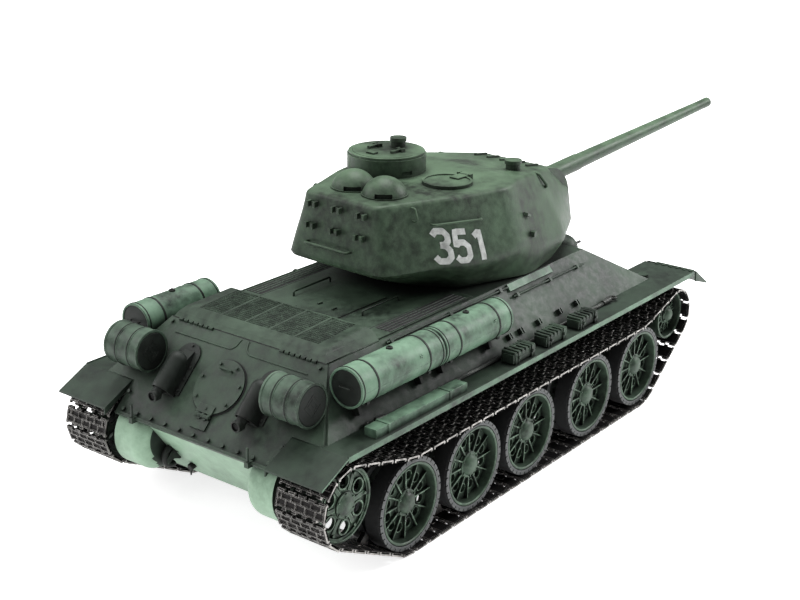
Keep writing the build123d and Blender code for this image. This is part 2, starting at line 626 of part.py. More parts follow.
def access_cover_hinge():
    """Lower leaf, fixed knuckles and pin of the round cover."""
    leaf = Pos(0, COVER_PIN_S - 4.2, 0.5) * Box(10.4, 5.6, 0.9)
    for x in (-1.95, 1.95):
        leaf += Pos(x, COVER_PIN_S, COVER_PIN_H) * Cylinder(1.1, 1.8, rotation=(0, 90, 0))
        leaf += Pos(x, COVER_PIN_S - 1.1, 0.8) * Box(1.8, 1.8, 1.5)
    leaf += Pos(0, COVER_PIN_S, COVER_PIN_H) * Cylinder(0.45, 10.4, rotation=(0, 90, 0))
    return [rear_local() * leaf]


def exhausts():
    """Two shrouded exhaust stubs on bolted flanges."""
    pieces = []
    for side in (1, -1):
        x = side * 29.8
        flange = Pos(x, -29.5, 0.55) * Box(15.4, 23.0, 1.0)
        flange += Pos(x, -19.0, 0.55) * Cylinder(7.7, 1.0)
        for dx in (-6.3, 6.3):
            for y in (-38.5, -31.5, -24.5):
                flange += Pos(x + dx, y, 1.2) * Cylinder(0.7, 1.2)
        flange += Pos(x, -12.9, 1.2) * Cylinder(0.7, 1.2)
        shroud = Pos(x, -33.6, 6.4) * Cylinder(5.3, 17.6, rotation=(90, 0, 0))
        shroud += Pos(x, -24.8, 6.4) * Sphere(5.3)
        shroud += Pos(x, -33.6, 3.3) * Box(10.6, 17.6, 6.0)
        tail = loft([Pos(x, -24.8, 3.6) * Rot(90, 0, 0) * Rectangle(10.0, 5.0),
                     Pos(x, -16.2, 1.4) * Rot(90, 0, 0) * Rectangle(7.0, 0.8)])
        shroud += tail
        shroud -= Pos(x, -41.4, 7.2) * Cylinder(4.2, 3.0, rotation=(90, 0, 0))
        pipe = Pos(x, -42.8, 7.6) * Cylinder(2.9, 9.0, rotation=(90, 0, 0))
        pipe -= Pos(x, -46.3, 7.6) * Cylinder(2.2, 5.0, rotation=(90, 0, 0))
        pieces.append(rear_local() * (flange + shroud + pipe))
    return pieces


def smoke_canisters():
    """Two banded canisters across the stern corners, on strap brackets."""
    x, z = CANISTER
    y0, y1 = CANISTER_Y
    can = rod_y(CANISTER_R, y0, y1, x, z)
    for y in (y0 + 0.6, y0 + 7.6, y0 + 16.6, y1 - 0.6):
        can += rod_y(CANISTER_R + 0.5, y - 0.6, y + 0.6, x, z)
    can -= rod_y(CANISTER_R - 1.4, y0 - 1, y0 + 0.7, x, z)
    can -= rod_y(CANISTER_R - 1.4, y1 - 0.7, y1 + 1, x, z)
    for y in (y0 + 7.6, y0 + 16.6):
        foot = Pos(x, y, z) * Rot(0, -45, 0) * Pos(0, 0, -10.0) * Box(6.5, 1.6, 3.6)
        can += foot - rod_y(CANISTER_R - 0.5, y - 2, y + 2, x, z)
    return both_sides([can])


def fuel_drum(x0, x1):
    """Banded drum with a filler cap, a side seam, a grab handle and two mounting feet."""
    y, z = DRUM
    drum = rod_x(DRUM_R, x0, x1, y, z)
    for x in (x0 + 0.5, x0 + 13.0, x1 - 13.0, x1 - 0.5):
        drum += rod_x(DRUM_R + 0.35, x - 0.5, x + 0.5, y, z)
    drum -= rod_x(DRUM_R - 1.2, x0 - 1, x0 + 0.6, y, z)
    drum -= rod_x(DRUM_R - 1.2, x1 - 0.6, x1 + 1, y, z)
    drum += rod_z(1.8, z + DRUM_R - 0.8, z + DRUM_R + 0.8, (x0 + x1) / 2, y)
    for x in (x0 + 9.0, x1 - 9.0):
        foot = prism_x([(66.0, 92.0), (73.0, 90.4), (76.2, 83.0), (72.9, 81.6)], x - 1.2, x + 1.2)
        drum += foot - rod_x(DRUM_R - 0.5, x - 2, x + 2, y, z)
    return drum


def fuel_drums():
    """Two drums end to end on the right side and one at the rear of the left side."""
    rear, middle, front = DRUM_SPLITS
    drums = mirrored([fuel_drum(rear, middle - 0.6), fuel_drum(middle + 0.6, front)])
    drums.append(fuel_drum(rear - 3.0, middle - 16.0))
    return drums


def engine_deck():
    """Deck plates with side louvres, the central access panel and its lifting eyes."""
    z0 = ROOF_Z + 0.02
    deck = box(-101.5, -15.5, -52.8, 52.8, z0, DECK_Z)
    for side in (1, -1):
        for row in range(4):
            y = side * (42.4 + row * 2.6)
            for bay in range(6):
                x = -90.0 + bay * 11.6
                deck -= box(x, x + 10.6, y - 0.8, y + 0.8, z0 - 1, DECK_Z + 1)
    deck -= rod_z(51.0, ROOF_Z - 1, DECK_Z + 1, RING_X, 0)
    deck += box(-98.0, -50.0, -17.5, 17.5, DECK_Z, DECK_Z + 0.7)
    for x, y in ((-96.0, -11.0), (-96.0, 11.0), (-82.0, 4.0), (-84.0, -8.0)):
        deck += box(x - 1.8, x + 1.8, y - 0.5, y + 0.5, DECK_Z + 0.7, DECK_Z + 1.7)
    return [deck]


def transmission_cover():
    """Bulged stern cover with five mesh panels between curved ribs, and its foot plate."""
    z = DECK_Z
    rear, front = -145.0, -102.6
    profile = [(rear, z), (-143.6, z + 2.6), (-138.4, z + 5.4), (-106.6, z + 7.2), (-103.6, z + 5.0),
               (front, z)]
    body = prism_y(profile, -54.0, 54.0)
    slope = [(-54.0, z), (-51.6, z + 3.6), (-46.5, z + 9.0), (46.5, z + 9.0), (51.6, z + 3.6), (54.0, z)]
    body = body & prism_x(slope, rear, front)
    body -= prism_y([(-142.0, z - 1), (-137.2, z + 3.6), (-107.6, z + 5.2), (-105.0, z - 1)], -44.5, 44.5)
    panel_w, panel_step = 16.2, 17.2
    sheets = []
    for index in range(-2, 3):
        y = index * panel_step
        body -= box(-137.4, -107.6, y - panel_w / 2, y + panel_w / 2, z, z + 12)
        sheets.append(prism_y([(-137.4, z + 4.3), (-107.6, z + 6.0), (-107.6, z + 6.7), (-137.4, z + 5.0)],
                              y - panel_w / 2, y + panel_w / 2))
    foot = box(-144.2, front, -54.0, 54.0, z - 0.86, z) - box(-140.0, -105.0, -46.0, 46.0, z - 2, z + 2)
    return [body + foot] + sheets


# ---------------------------------------------------------------- hull fittings


def slope_point(t, out=0.0):
    """Point (y, z) on the left sloped side, t from fender (0) to roof (1), raised by out."""
    run, rise = SPONSON_HALF - ROOF_HALF, ROOF_Z - FENDER_Z
    length = hypot(run, rise)
    y = SPONSON_HALF - run * t + out * rise / length
    z = FENDER_Z + rise * t + out * run / length
    return y, z


def side_box(x0, x1, t, width, thick, lift):
    """Bar or plate lying along the sloped left side."""
    y, z = slope_point(t, lift + thick / 2)
    return Pos((x0 + x1) / 2, y, z) * Rot(-SLOPE_ANGLE, 0, 0) * Box(x1 - x0, width, thick)


def hull_fittings(hosts):
    """Handrails, hinge knuckles, hooks, bolts, headlamp and small brackets fixed to the hull."""
    pieces = []
    for side in (1, -1):
        y = side * 25.0
        top = DECK_Z + 2.9
        rail = [(-80.3, y, DECK_Z), (-80.3, y, top), (-48.5, y, top), (-48.5, y, DECK_Z)]
        pieces.append(bent_rod(rail, 1.4, 0.6))
        x, z = rear_x(62.4), 62.4
        y0, y1 = span(side, 40.2, 42.8)
        bracket = box(x - 3.6, x + 0.6, y0, y1, z - 1.6, z + 1.6)
        pieces.append(bracket + rod_z(0.7, z + 1.5, z + 9.0, x - 2.4, (y0 + y1) / 2))
        tow_hook = [(-164.0, 41.0), (-171.5, 41.5), (-176.5, 37.5), (-175.5, 34.2), (-171.5, 36.2),
                    (-167.0, 34.5), (-161.4, 36.0)]
        pieces.append(prism_y(tow_hook, *span(side, 31.0, 35.0)))
        nose_hook = [(164.5, 41.0), (170.0, 43.5), (176.5, 44.5), (178.5, 41.0), (174.5, 37.0), (160.0, 37.0)]
        pieces.append(prism_y(nose_hook, *span(side, 30.0, 34.0)))
        for across, up in ((52.6, -3.0), (54.6, -47.6)):
            pieces.append(rear_local() * Pos(side * across, up, 0.75) * Cylinder(1.0, 1.4))
    for index in range(11):
        pieces.append(rear_local() * Pos(-52.0 + index * 10.4, -57.4, 0.75) * Cylinder(1.0, 1.4))
    lamp_y, lamp_z = slope_point(0.42, 5.6)
    lamp = rod_x(4.4, 118.0, 125.5, lamp_y, lamp_z) + rod_x(4.9, 123.6, 125.5, lamp_y, lamp_z)
    lamp_foot = Pos(120.0, lamp_y, lamp_z) * Rot(-SLOPE_ANGLE, 0, 0) * Pos(0, 0, -4.6)
    pieces.append(lamp + lamp_foot * Box(3.0, 2.4, 4.6))
    horn = rod_z(3.4, FENDER_Z + 0.6, FENDER_Z + 2.0, 152.0, -72.0)
    pieces.append(horn + rod_z(1.2, FENDER_Z - 0.3, FENDER_Z + 1, 152.0, -72.0))
    return [seated(piece, hosts) for piece in pieces] + mudflap_hinges() + access_cover_hinge()


def stowage():
    """Fender load on both sides: long tool box, strapped grouser packs, side rails and clips."""
    left = []
    top = FENDER_Z + 0.03
    tool = box(-150.0, -73.0, 83.0, 90.6, top, top + 4.6)
    for x in (-140.0, -88.0):
        tool += box(x - 0.9, x + 0.9, 82.6, 91.0, top, top + 5.0)
    left.append(tool)
    for x in (-18.0, 15.5, 51.0):
        pack = box(x - 11.0, x + 11.0, 82.6, 90.8, top + 1.0, top + 6.0)
        for dx in (-8.6, 8.6):
            pack += box(x + dx - 0.9, x + dx + 0.9, 82.0, 91.4, top, top + 6.5)
        for step in range(5):
            pack += box(x - 9.6 + step * 4.4, x - 8.0 + step * 4.4, 82.2, 84.6, top + 5.6, top + 7.2)
        left.append(pack)
    left.append(side_box(14.5, 60.5, 0.915, 4.4, 1.4, 0.0))
    for x0, x1, t in ((-100.0, 14.0, 0.93), (14.5, 93.0, 0.755)):
        y, z = slope_point(t, 1.5)
        bar = rod_x(0.6, x0, x1, y, z)
        for x in (x0 + 4, (x0 + x1) / 2, x1 - 8):
            bar += side_box(x - 1.1, x + 1.1, t, 2.4, 2.4, 0.0)
        left.append(bar)
    for x in (-7.4, 4.4, 23.5, 46.3, 65.6):
        clip = side_box(x - 1.5, x + 1.5, 0.20, 3.4, 0.9, 0.0)
        for edge in (-1.5, 0.6):
            clip += side_box(x + edge, x + edge + 0.9, 0.20, 3.4, 3.0, 0.0)
        left.append(clip)
    return both_sides(left)


def tow_cables():
    """Steel tow cables along the foot of both sloped sides, with an eye at each end."""
    cable = rod_x(CABLE_R, -134.0, 92.0, CABLE_Y, CABLE_Z)
    pieces = [cable]
    for x, direction in ((-134.0, -1), (92.0, 1)):
        socket = rod_x(1.9, *sorted((x - 3.0 * direction, x + 5.0 * direction)), CABLE_Y, CABLE_Z + 0.8)
        socket -= rod_x(CABLE_R, x - 4, x + 4, CABLE_Y, CABLE_Z)
        eye = Pos(x + 7.2 * direction, CABLE_Y, CABLE_Z + 0.8)
        pieces.append(socket + eye * Cylinder(2.7, 2.0) - eye * Cylinder(1.4, 4.0))
    return both_sides(pieces)


def driver_hatch():
    """Sloped front hatch with hinge arms at its upper edge and two periscope hoods."""
    lid = Pos(HATCH_Y, HATCH_S, 1.25) * Box(HATCH_W, HATCH_L, 2.4)
    for dx in (-8.0, 8.0):
        lid += Pos(HATCH_Y + dx, HATCH_S + 9.0, 4.0) * Box(8.0, 6.0, 3.4)
    for dx in (-11.0, 11.0):
        lid += Pos(HATCH_Y + dx, HATCH_S + HATCH_L / 2 + 1.2, 2.0) * Box(3.4, 6.0, 2.0)
        lid += Pos(HATCH_Y + dx, HATCH_PIN_S, HATCH_PIN_H) * Cylinder(1.5, 3.4, rotation=(0, 90, 0))
    lid -= Pos(HATCH_Y, HATCH_PIN_S, HATCH_PIN_H) * Cylinder(0.65, 40, rotation=(0, 90, 0))
    return [glacis_local() * lid]


def driver_hatch_hinge():
    """Fixed lugs and pins of the front hatch."""
    pieces = []
    for dx in (-11.0, 11.0):
        pin = Pos(HATCH_Y + dx, HATCH_PIN_S, HATCH_PIN_H) * Cylinder(0.55, 8.2, rotation=(0, 90, 0))
        for lug in (-3.0, 3.0):
            pin += Pos(HATCH_Y + dx + lug, HATCH_PIN_S, 1.55) * Box(2.2, 3.0, 3.0)
        pieces.append(glacis_local() * pin)
    return pieces


def bow_gun_centre():
    return (glacis_local() * Pos(MG_Y, MG_S, MG_PIVOT_H)).position


def hull_machine_gun():
    """Ball and barrel of the bow gun, swivelling in its armoured blister."""
    centre = bow_gun_centre()
    gun = ball(MG_BALL_R, centre)
    gun += rod_x(1.5, centre.X, centre.X + 13.0, centre.Y, centre.Z)
    gun += rod_x(0.9, centre.X + 12.0, centre.X + 22.0, centre.Y, centre.Z)
    return [gun]


def gun_blister():
    """Armoured collar round the bow gun's ball, open to the front."""
    centre = bow_gun_centre()
    dome = ball(MG_BALL_R + 4.6, centre)
    dome &= glacis_local() * Pos(MG_Y, MG_S, 10.03) * Box(30, 30, 20)
    dome -= ball(MG_BALL_R + 0.3, centre)
    dome -= rod_x(4.9, centre.X, centre.X + 20.0, centre.Y, centre.Z)
    return [max(dome.solids(), key=lambda solid: solid.volume)]


# ---------------------------------------------------------------- turret (about the ring centre)

def inset_outline(points, inset):
    """Move a closed outline inward by the inset, corner by corner."""
    moved = []
    count = len(points)
    for index, (x, y) in enumerate(points):
        x0, y0 = points[index - 1]
        x2, y2 = points[(index + 1) % count]
        ax, ay = x - x0, y - y0
        bx, by = x2 - x, y2 - y
        la, lb = hypot(ax, ay), hypot(bx, by)
        nax, nay = ay / la, -ax / la
        nbx, nby = by / lb, -bx / lb
        scale = inset / (1 + nax * nbx + nay * nby)
        moved.append((x + (nax + nbx) * scale, y + (nay + nby) * scale))
    return moved


def rounded_outline(points, radii, steps=5):
    """Closed polygon with each corner replaced by points along its rounding arc."""
    outline = []
    count = len(points)
    for index, (x, y) in enumerate(points):
        x0, y0 = points[index - 1]
        x2, y2 = points[(index + 1) % count]
        arrive, leave = hypot(x - x0, y - y0), hypot(x2 - x, y2 - y)
        turn = acos(((x - x0) * (x2 - x) + (y - y0) * (y2 - y)) / (arrive * leave))
        reach = min(radii[index] * tan(turn / 2), 0.48 * arrive, 0.48 * leave)
        ax, ay = x - (x - x0) / arrive * reach, y - (y - y0) / arrive * reach
        bx, by = x + (x2 - x) / leave * reach, y + (y2 - y) / leave * reach
        for step in range(steps):
            t = step / (steps - 1)
            outline.append(((1 - t) ** 2 * ax + 2 * t * (1 - t) * x + t * t * bx,
                            (1 - t) ** 2 * ay + 2 * t * (1 - t) * y + t * t * by))
    return outline


def turret_section(level, inset=0.0):
    z, half = level
    points = [(u, v) for u, v, _ in half] + [(u, -v) for u, v, _ in reversed(half)]
    radii = [r for _, _, r in half] + [r for _, _, r in reversed(half)]
    if inset:
        points = inset_outline(points, inset)
        radii = [max(r - inset, 0.8) for r in radii]
    return make_face(Polyline(*[(u, v, z) for u, v in rounded_outline(points, radii)], close=True))


def turret_walls(inset=0.0):
    upper = loft([turret_section(TURRET_MID, inset), turret_section(TURRET_TOP, inset)], ruled=True)
    lower = loft([turret_section(TURRET_LOW, inset), turret_section(TURRET_MID, inset)], ruled=True)
    return upper + lower


def turret_undercut(inset=0.0, lift=0.0):
    """Space above the undercut base."""
    z, half = BEVEL_LOW
    cone = loft([turret_section((z + lift, half), inset), turret_section(BEVEL_TOP, inset)], ruled=True)
    return cone + box(-150, 200, -75, 75, BEVEL_TOP[0] - 0.01, 170)


def roof_z(u):
    """Height of the turret roof: level at the rear, falling towards the gun."""
    return TURRET_ROOF_Z - max(0.0, u - TURRET_ROOF_BREAK_U) * tan(radians(TURRET_ROOF_SLOPE))


def roof_cut(drop=0.0):
    """Everything above the roof, or above a surface this far under it."""
    points = [(u, roof_z(u) - drop) for u in (-130, TURRET_ROOF_BREAK_U, 120)]
    return prism_y(points + [(120, 190), (-130, 190)], -80, 80)


def turret_shell():
    """Cast turret body: sloped walls, undercut base, roof openings and the gun embrasure."""
    body = turret_walls() & turret_undercut()
    body -= roof_cut()
    room = turret_walls(TURRET_WALL) & turret_undercut(TURRET_WALL, 1.5)
    room -= roof_cut(TURRET_WALL)
    body -= room
    body -= rod_z(41.0, 100, 112, 0, 0)
    bore = rod_y(MANTLET_R + 0.4, -MANTLET_HALF - 0.4, MANTLET_HALF + 0.4, *TRUNNION)
    body -= bore & box(40, 110, -40, 40, 108, 170)
    body -= box(TRUNNION[0] + 14, 110, -MANTLET_HALF - 0.4, MANTLET_HALF + 0.4, 117, 153)
    body -= rod_z(CUPOLA_R - 5.0, 150, 170, *CUPOLA)
    body -= rod_z(LOADER_R - 2.4, 150, 170, *LOADER)
    return [max(body.solids(), key=lambda solid: solid.volume)]


def turret_ring():
    """Turret base ring: bearing flange on the hull roof and the toothed ring below it."""
    flange = rod_z(50.0, ROOF_Z + 0.3, 105.2, 0, 0)
    neck = rod_z(44.2, ROOF_Z - 4.0, ROOF_Z + 0.5, 0, 0)
    gear = Pos(0, 0, ROOF_Z - 8.0) * extrude(gear_outline(RING_TEETH, RING_MODULE), 4.0)
    ring = flange + neck + gear
    ring -= rod_z(36.0, 90, 110, 0, 0)
    return [ring]


def gun_local():
    """Frame at the trunnion with x along the gun."""
    return Pos(TRUNNION[0], 0, TRUNNION[1]) * Rot(0, -GUN_ELEVATION, 0)


def gun_mantlet():
    """Curved gun shield with its collar and trunnion pins."""
    drum = rod_y(MANTLET_R, -MANTLET_HALF, MANTLET_HALF, 0, 0)
    shield = drum - rod_y(MANTLET_R - 4.0, -MANTLET_HALF + 3.0, MANTLET_HALF - 3.0, 0, 0)
    sector = prism_y([(-4, 0), (-2, 30), (40, 30), (40, -26), (19.6, -26)], -40, 40)
    shield &= sector
    shield += rod_x(10.5, MANTLET_R - 6.0, MANTLET_R + 4.0, 0, GUN_RISE)
    shield += rod_x(7.6, MANTLET_R + 3.0, MANTLET_R + 9.0, 0, GUN_RISE)
    shield += rod_x(9.0, 4.0, MANTLET_R - 3.0, 0, GUN_RISE)
    shield -= rod_x(BARREL_SLEEVE_R + RUNNING_CLEARANCE, 0.0, 60.0, 0, GUN_RISE)
    return [gun_local() * shield]


def gun_barrel():
    """Recoiling barrel: breech block, sleeve and a tapered tube with a hollow muzzle."""
    length = GUN_TIP - TRUNNION[0]
    bore_r, bore_depth = 2.5, 14.0
    profile = [(BARREL_ROOT, 0), (BARREL_ROOT, BARREL_SLEEVE_R), (72.0, BARREL_SLEEVE_R), (73.0, 5.2),
               (length - 8.0, 3.5), (length - 7.6, MUZZLE_R), (length, MUZZLE_R), (length, bore_r),
               (length - bore_depth, bore_r), (length - bore_depth, 0)]
    outline = Polyline(*[(x, r, 0) for x, r in profile], close=True)
    tube = revolve(make_face(outline), axis=Axis.X)
    tube += box(BARREL_ROOT - 10.0, BARREL_ROOT + 1, -7.0, 7.0, -8.0, 8.0)
    return [gun_local() * Pos(0, 0, GUN_RISE) * tube]


def cupola():
    """Commander's cupola drum with vision slits."""
    u, v = CUPOLA
    top = CUPOLA_TOP - 1.6
    drum = rod_z(CUPOLA_R, TURRET_ROOF_Z + 0.02, top, u, v)
    drum -= rod_z(CUPOLA_R - 4.0, TURRET_ROOF_Z - 1, top + 1, u, v)
    for angle, du, dv in ring_of(5, CUPOLA_R, 36):
        drum -= Pos(u + du, v + dv, TURRET_ROOF_Z + 2.6) * Rot(0, 0, angle) * Box(1.6, 6.6, 2.2)
    return [drum]


def cupola_lid():
    """Fixed half of the cupola's top plate, with the periscope and the lugs of the hatch hinge."""
    u, v = CUPOLA
    top = CUPOLA_TOP - 1.55
    plate = rod_z(CUPOLA_R - 0.8, top, CUPOLA_TOP - 0.2, u, v)
    rear_half = box(u - 40, u, v - 40, v + 40, top - 1, CUPOLA_TOP + 1)
    plate -= rear_half & rod_z(CUPOLA_R - 3.2, top - 1, CUPOLA_TOP + 1, u, v)
    plate += rod_z(4.4, CUPOLA_TOP - 0.3, CUPOLA_TOP + 3.4, u + 10.5, v)
    plate += rod_z(5.0, CUPOLA_TOP + 3.4, CUPOLA_TOP + 5.6, u + 10.5, v)
    for dv in LID_STRAPS:
        plate += rod_y(0.5, v + dv - 2.4, v + dv + 2.4, *LID_PIN)
        for lug in (-1.9, 1.9):
            y = v + dv + lug
            plate += box(u + 0.3, u + 3.6, y - 0.6, y + 0.6, CUPOLA_TOP - 0.3, CUPOLA_TOP + 1.9)
    return [plate]


def cupola_hatch():
    """Opening half of the cupola lid."""
    u, v = CUPOLA
    top = CUPOLA_TOP - 0.1
    lid = rod_z(CUPOLA_R - 3.4, top - 1.2, top, u, v) & box(u - 40, u - 0.2, v - 40, v + 40, 150, 200)
    for dv in LID_STRAPS:
        lid += box(u - 6.0, u + 0.9, v + dv - 1.1, v + dv + 1.1, top - 0.05, CUPOLA_TOP + 1.5)
        lid += rod_y(1.0, v + dv - 1.1, v + dv + 1.1, *LID_PIN)
    lid -= rod_y(0.6, v - 20, v + 20, *LID_PIN)
    lid += box(u - 15.0, u - 11.0, v - 3.0, v + 3.0, top - 0.1, CUPOLA_TOP + 1.0)
    return [lid]


def loader_hatch():
    """Round loader's lid with a raised rim and two hinge knuckles."""
    u, v = LOADER
    z = TURRET_ROOF_Z + 0.04
    lid = rod_z(LOADER_R, z, z + 1.2, u, v)
    lid += rod_z(LOADER_R, z + 1.2, z + 1.9, u, v) - rod_z(LOADER_R - 1.4, z + 1.0, z + 2.0, u, v)
    lid += box(u + 6.0, LOADER_PIN[0] - 0.4, v - 3.2, v + 3.2, z + 1.0, z + 2.2)
    lid += rod_y(1.1, v - 3.2, v + 3.2, *LOADER_PIN)
    lid -= rod_y(0.65, v - 10, v + 10, *LOADER_PIN)
    return [lid]


def roof_dome(u, v, z):
    """Ventilator dome with its slot towards the rear corner."""
    dome = Pos(u, v, z - 2.9) * Sphere(DOME_R)
    dome &= box(u - 15, u + 15, v - 15, v + 15, z, z + 12)
    dome += rod_z(DOME_R - 0.1, z, z + 0.8, u, v)
    dome -= Pos(u, v, z + 1.8) * Rot(0, 0, 38) * Pos(-13.0, 0, 0) * Box(7.0, 10.0, 2.6)
    return dome


def turret_fittings(shell):
    """Domes, periscope, roof grille bars, lifting hooks, rails and spare-link brackets."""
    roof = TURRET_ROOF_Z + 0.03
    loose = [roof_dome(-72.5, -12.6, roof) + roof_dome(-72.5, 10.6, roof)]
    pin_u, pin_z = LOADER_PIN
    for dv in (-4.2, 4.2):
        lug_v = LOADER[1] + dv
        loose.append(box(pin_u - 1.4, pin_u + 1.4, lug_v - 0.7, lug_v + 0.7, roof, roof + 3.0))
    loose.append(rod_y(0.55, LOADER[1] - 3.4, LOADER[1] + 3.4, pin_u, pin_z))
    pieces = [rod_z(4.4, 156.8, 162.6, 31.0, -25.0) + rod_z(5.2, 162.6, 164.8, 31.0, -25.0)]
    for index in range(5):
        slat = Pos(57.5, -20.0 + index * 10.0, roof_z(57.5) + 0.6)
        pieces.append(slat * Rot(0, TURRET_ROOF_SLOPE, 0) * Box(12.0, 1.6, 1.3))
    for v in (-18.5, 0.0, 18.5):
        for z in (156.0, 144.0):
            face = -96.0 - (163.0 - z) * 4.0 / 27.0
            bracket = box(face - 3.2, face + 0.6, v - 3.2, v - 1.6, z - 1.6, z + 1.6)
            bracket += box(face - 3.2, face + 0.6, v + 1.6, v + 3.2, z - 1.6, z + 1.6)
            bracket += box(face - 1.0, face + 0.6, v - 3.2, v + 3.2, z - 1.0, z + 1.0)
            pieces.append(bracket)
    rail = [(-98.0, 20.0, 134.5), (-103.6, 20.0, 134.5), (-103.6, -12.0, 134.5), (-98.0, -12.0, 134.5)]
    pieces.append(bent_rod(rail, 1.6, 0.8))
    for side in (1, -1):
        grab = [(-67.0, side * 36.0, 149.4), (-67.0, side * 44.4, 149.4), (-36.0, side * 54.4, 148.2),
                (-36.0, side * 44.0, 148.2)]
        pieces.append(bent_rod(grab, 1.4, 0.6))
        upright = [(-76.0, side * 30.0, 159.4), (-76.0, side * 37.9, 159.4), (-77.0, side * 40.9, 152.4),
                   (-77.0, side * 32.0, 152.4)]
        pieces.append(bent_rod(upright, 1.4, 0.6))
        hook = [(39.0, side * 33.0, 156.6), (39.0, side * 38.9, 156.6), (43.0, side * 43.1, 148.6),
                (43.0, side * 36.0, 148.6)]
        pieces.append(bent_rod(hook, 1.4, 0.9))
        pieces.append(Pos(4.0, side * 54.6, 142.4) * Rot(0, 25, side * -13) * Box(6.0, 6.0, 1.5))
        pieces.append(Pos(6.0, side * 58.0, 131.0) * Rot(0, 0, side * -13) * Box(3.2, 6.0, 3.2))
    return loose + [seated(piece, [shell]) for piece in pieces]


# ---------------------------------------------------------------- inside


def battery_pack():
    """Battery block over the belly opening."""
    return [box(-62, -8, -21, 21, BELLY_Z + WALL + 0.2, BELLY_Z + WALL + 20)]


def drive_gearboxes():
    """Side frames, spacers and the two drive motors at the stern."""
    pieces = []
    for side in (1, -1):
        plate = box(-160.0, -128.0, *span(side, 36.0, 38.0), 33.0, 62.0)
        plate -= rod_y(2.2, *span(side, 30.0, 40.0), MOTOR_X, MOTOR_Z)
        foot = box(-150.0, -128.0, *span(side, 20.0, 38.0), BELLY_Z + WALL + 0.1, 33.0)
        pieces.append(plate + foot)
        motor = rod_y(12.0, *span(side, 4.0, 33.0), MOTOR_X + 4, MOTOR_Z + 5)
        motor -= rod_y(1.6, *span(side, 2.0, 36.0), MOTOR_X, MOTOR_Z)
        pieces.append(motor & box(-175, -120, -60, 60, 33.2, 90))
    return pieces


def motor_pinion(side):
    """Drive motor pinion on its shaft, meshing with the gear on the sprocket shaft."""
    teeth = gear_outline(MOTOR_PINION_TEETH, DRIVE_MODULE, 180.0 / MOTOR_PINION_TEETH + 180.0)
    gear = Pos(MOTOR_X, FINAL_GEAR_Y, MOTOR_Z) * Rot(90, 0, 0) * extrude(teeth, 4.0)
    gear += rod_y(1.5, 35.0, FINAL_GEAR_Y, MOTOR_X, MOTOR_Z)
    return [gear] if side > 0 else mirrored([gear])


def turret_motor():
    """Traverse motor hung from the hull roof."""
    x = RING_X + TRAVERSE_X
    can = rod_z(9.0, 62.0, 88.0, x, 0) + box(x - 8.0, x + 8.0, -14.0, 14.0, 88.0, 90.0)
    for side in (1, -1):
        can += box(x - 2.0, x + 8.0, *span(side, 12.0, 14.0), 88.0, 101.9)
    can -= rod_z(1.3 + RUNNING_CLEARANCE, 80.0, 95.0, x, 0)
    return [can]


def turret_pinion():
    """Traverse pinion meshing with the turret's toothed ring."""
    x = RING_X + TRAVERSE_X
    step = 360.0 / TURRET_PINION_TEETH
    phase = step / 2 + 180.0
    ring_phase = TURRET_YAW % (360.0 / RING_TEETH)
    lag = -ring_phase * RING_TEETH / TURRET_PINION_TEETH
    teeth = extrude(gear_outline(TURRET_PINION_TEETH, RING_MODULE, phase + lag), 3.6)
    gear = Pos(x, 0, ROOF_Z - 7.8) * teeth
    gear += rod_z(1.3, 82.0, ROOF_Z - 7.0, x, 0)
    return [gear]


def control_electronics():
    """Main board on pillars with the receiver, the sound speaker and the smoke generator."""
    floor = BELLY_Z + WALL + 0.1
    board = box(44.0, 118.0, -30.0, 30.0, floor + 8.0, floor + 9.6)
    for x in (48.0, 114.0):
        for y in (-26.0, 26.0):
            board += rod_z(2.0, floor, floor + 8.2, x, y)
    receiver = box(70.0, 104.0, -16.0, 8.0, floor + 9.7, floor + 18.0)
    speaker = rod_z(13.0, floor, floor + 8.0, 14.0, 30.0)
    speaker += rod_z(9.0, floor + 8.0, floor + 14.0, 14.0, 30.0)
    smoke = box(-118.0, -92.0, -12.0, 12.0, floor, floor + 24.0)
    smoke += rod_z(3.0, floor + 24.0, floor + 36.0, -105.0, 0.0)
    return [board, receiver, speaker, smoke]


def power_switch():
    """Slide switch in the belly: a knob that travels fore and aft."""
    return [box(26.2, 29.8, -3.0, 3.0, BELLY_Z - 1.2, BELLY_Z + 3.0)]


# ---------------------------------------------------------------- write everything


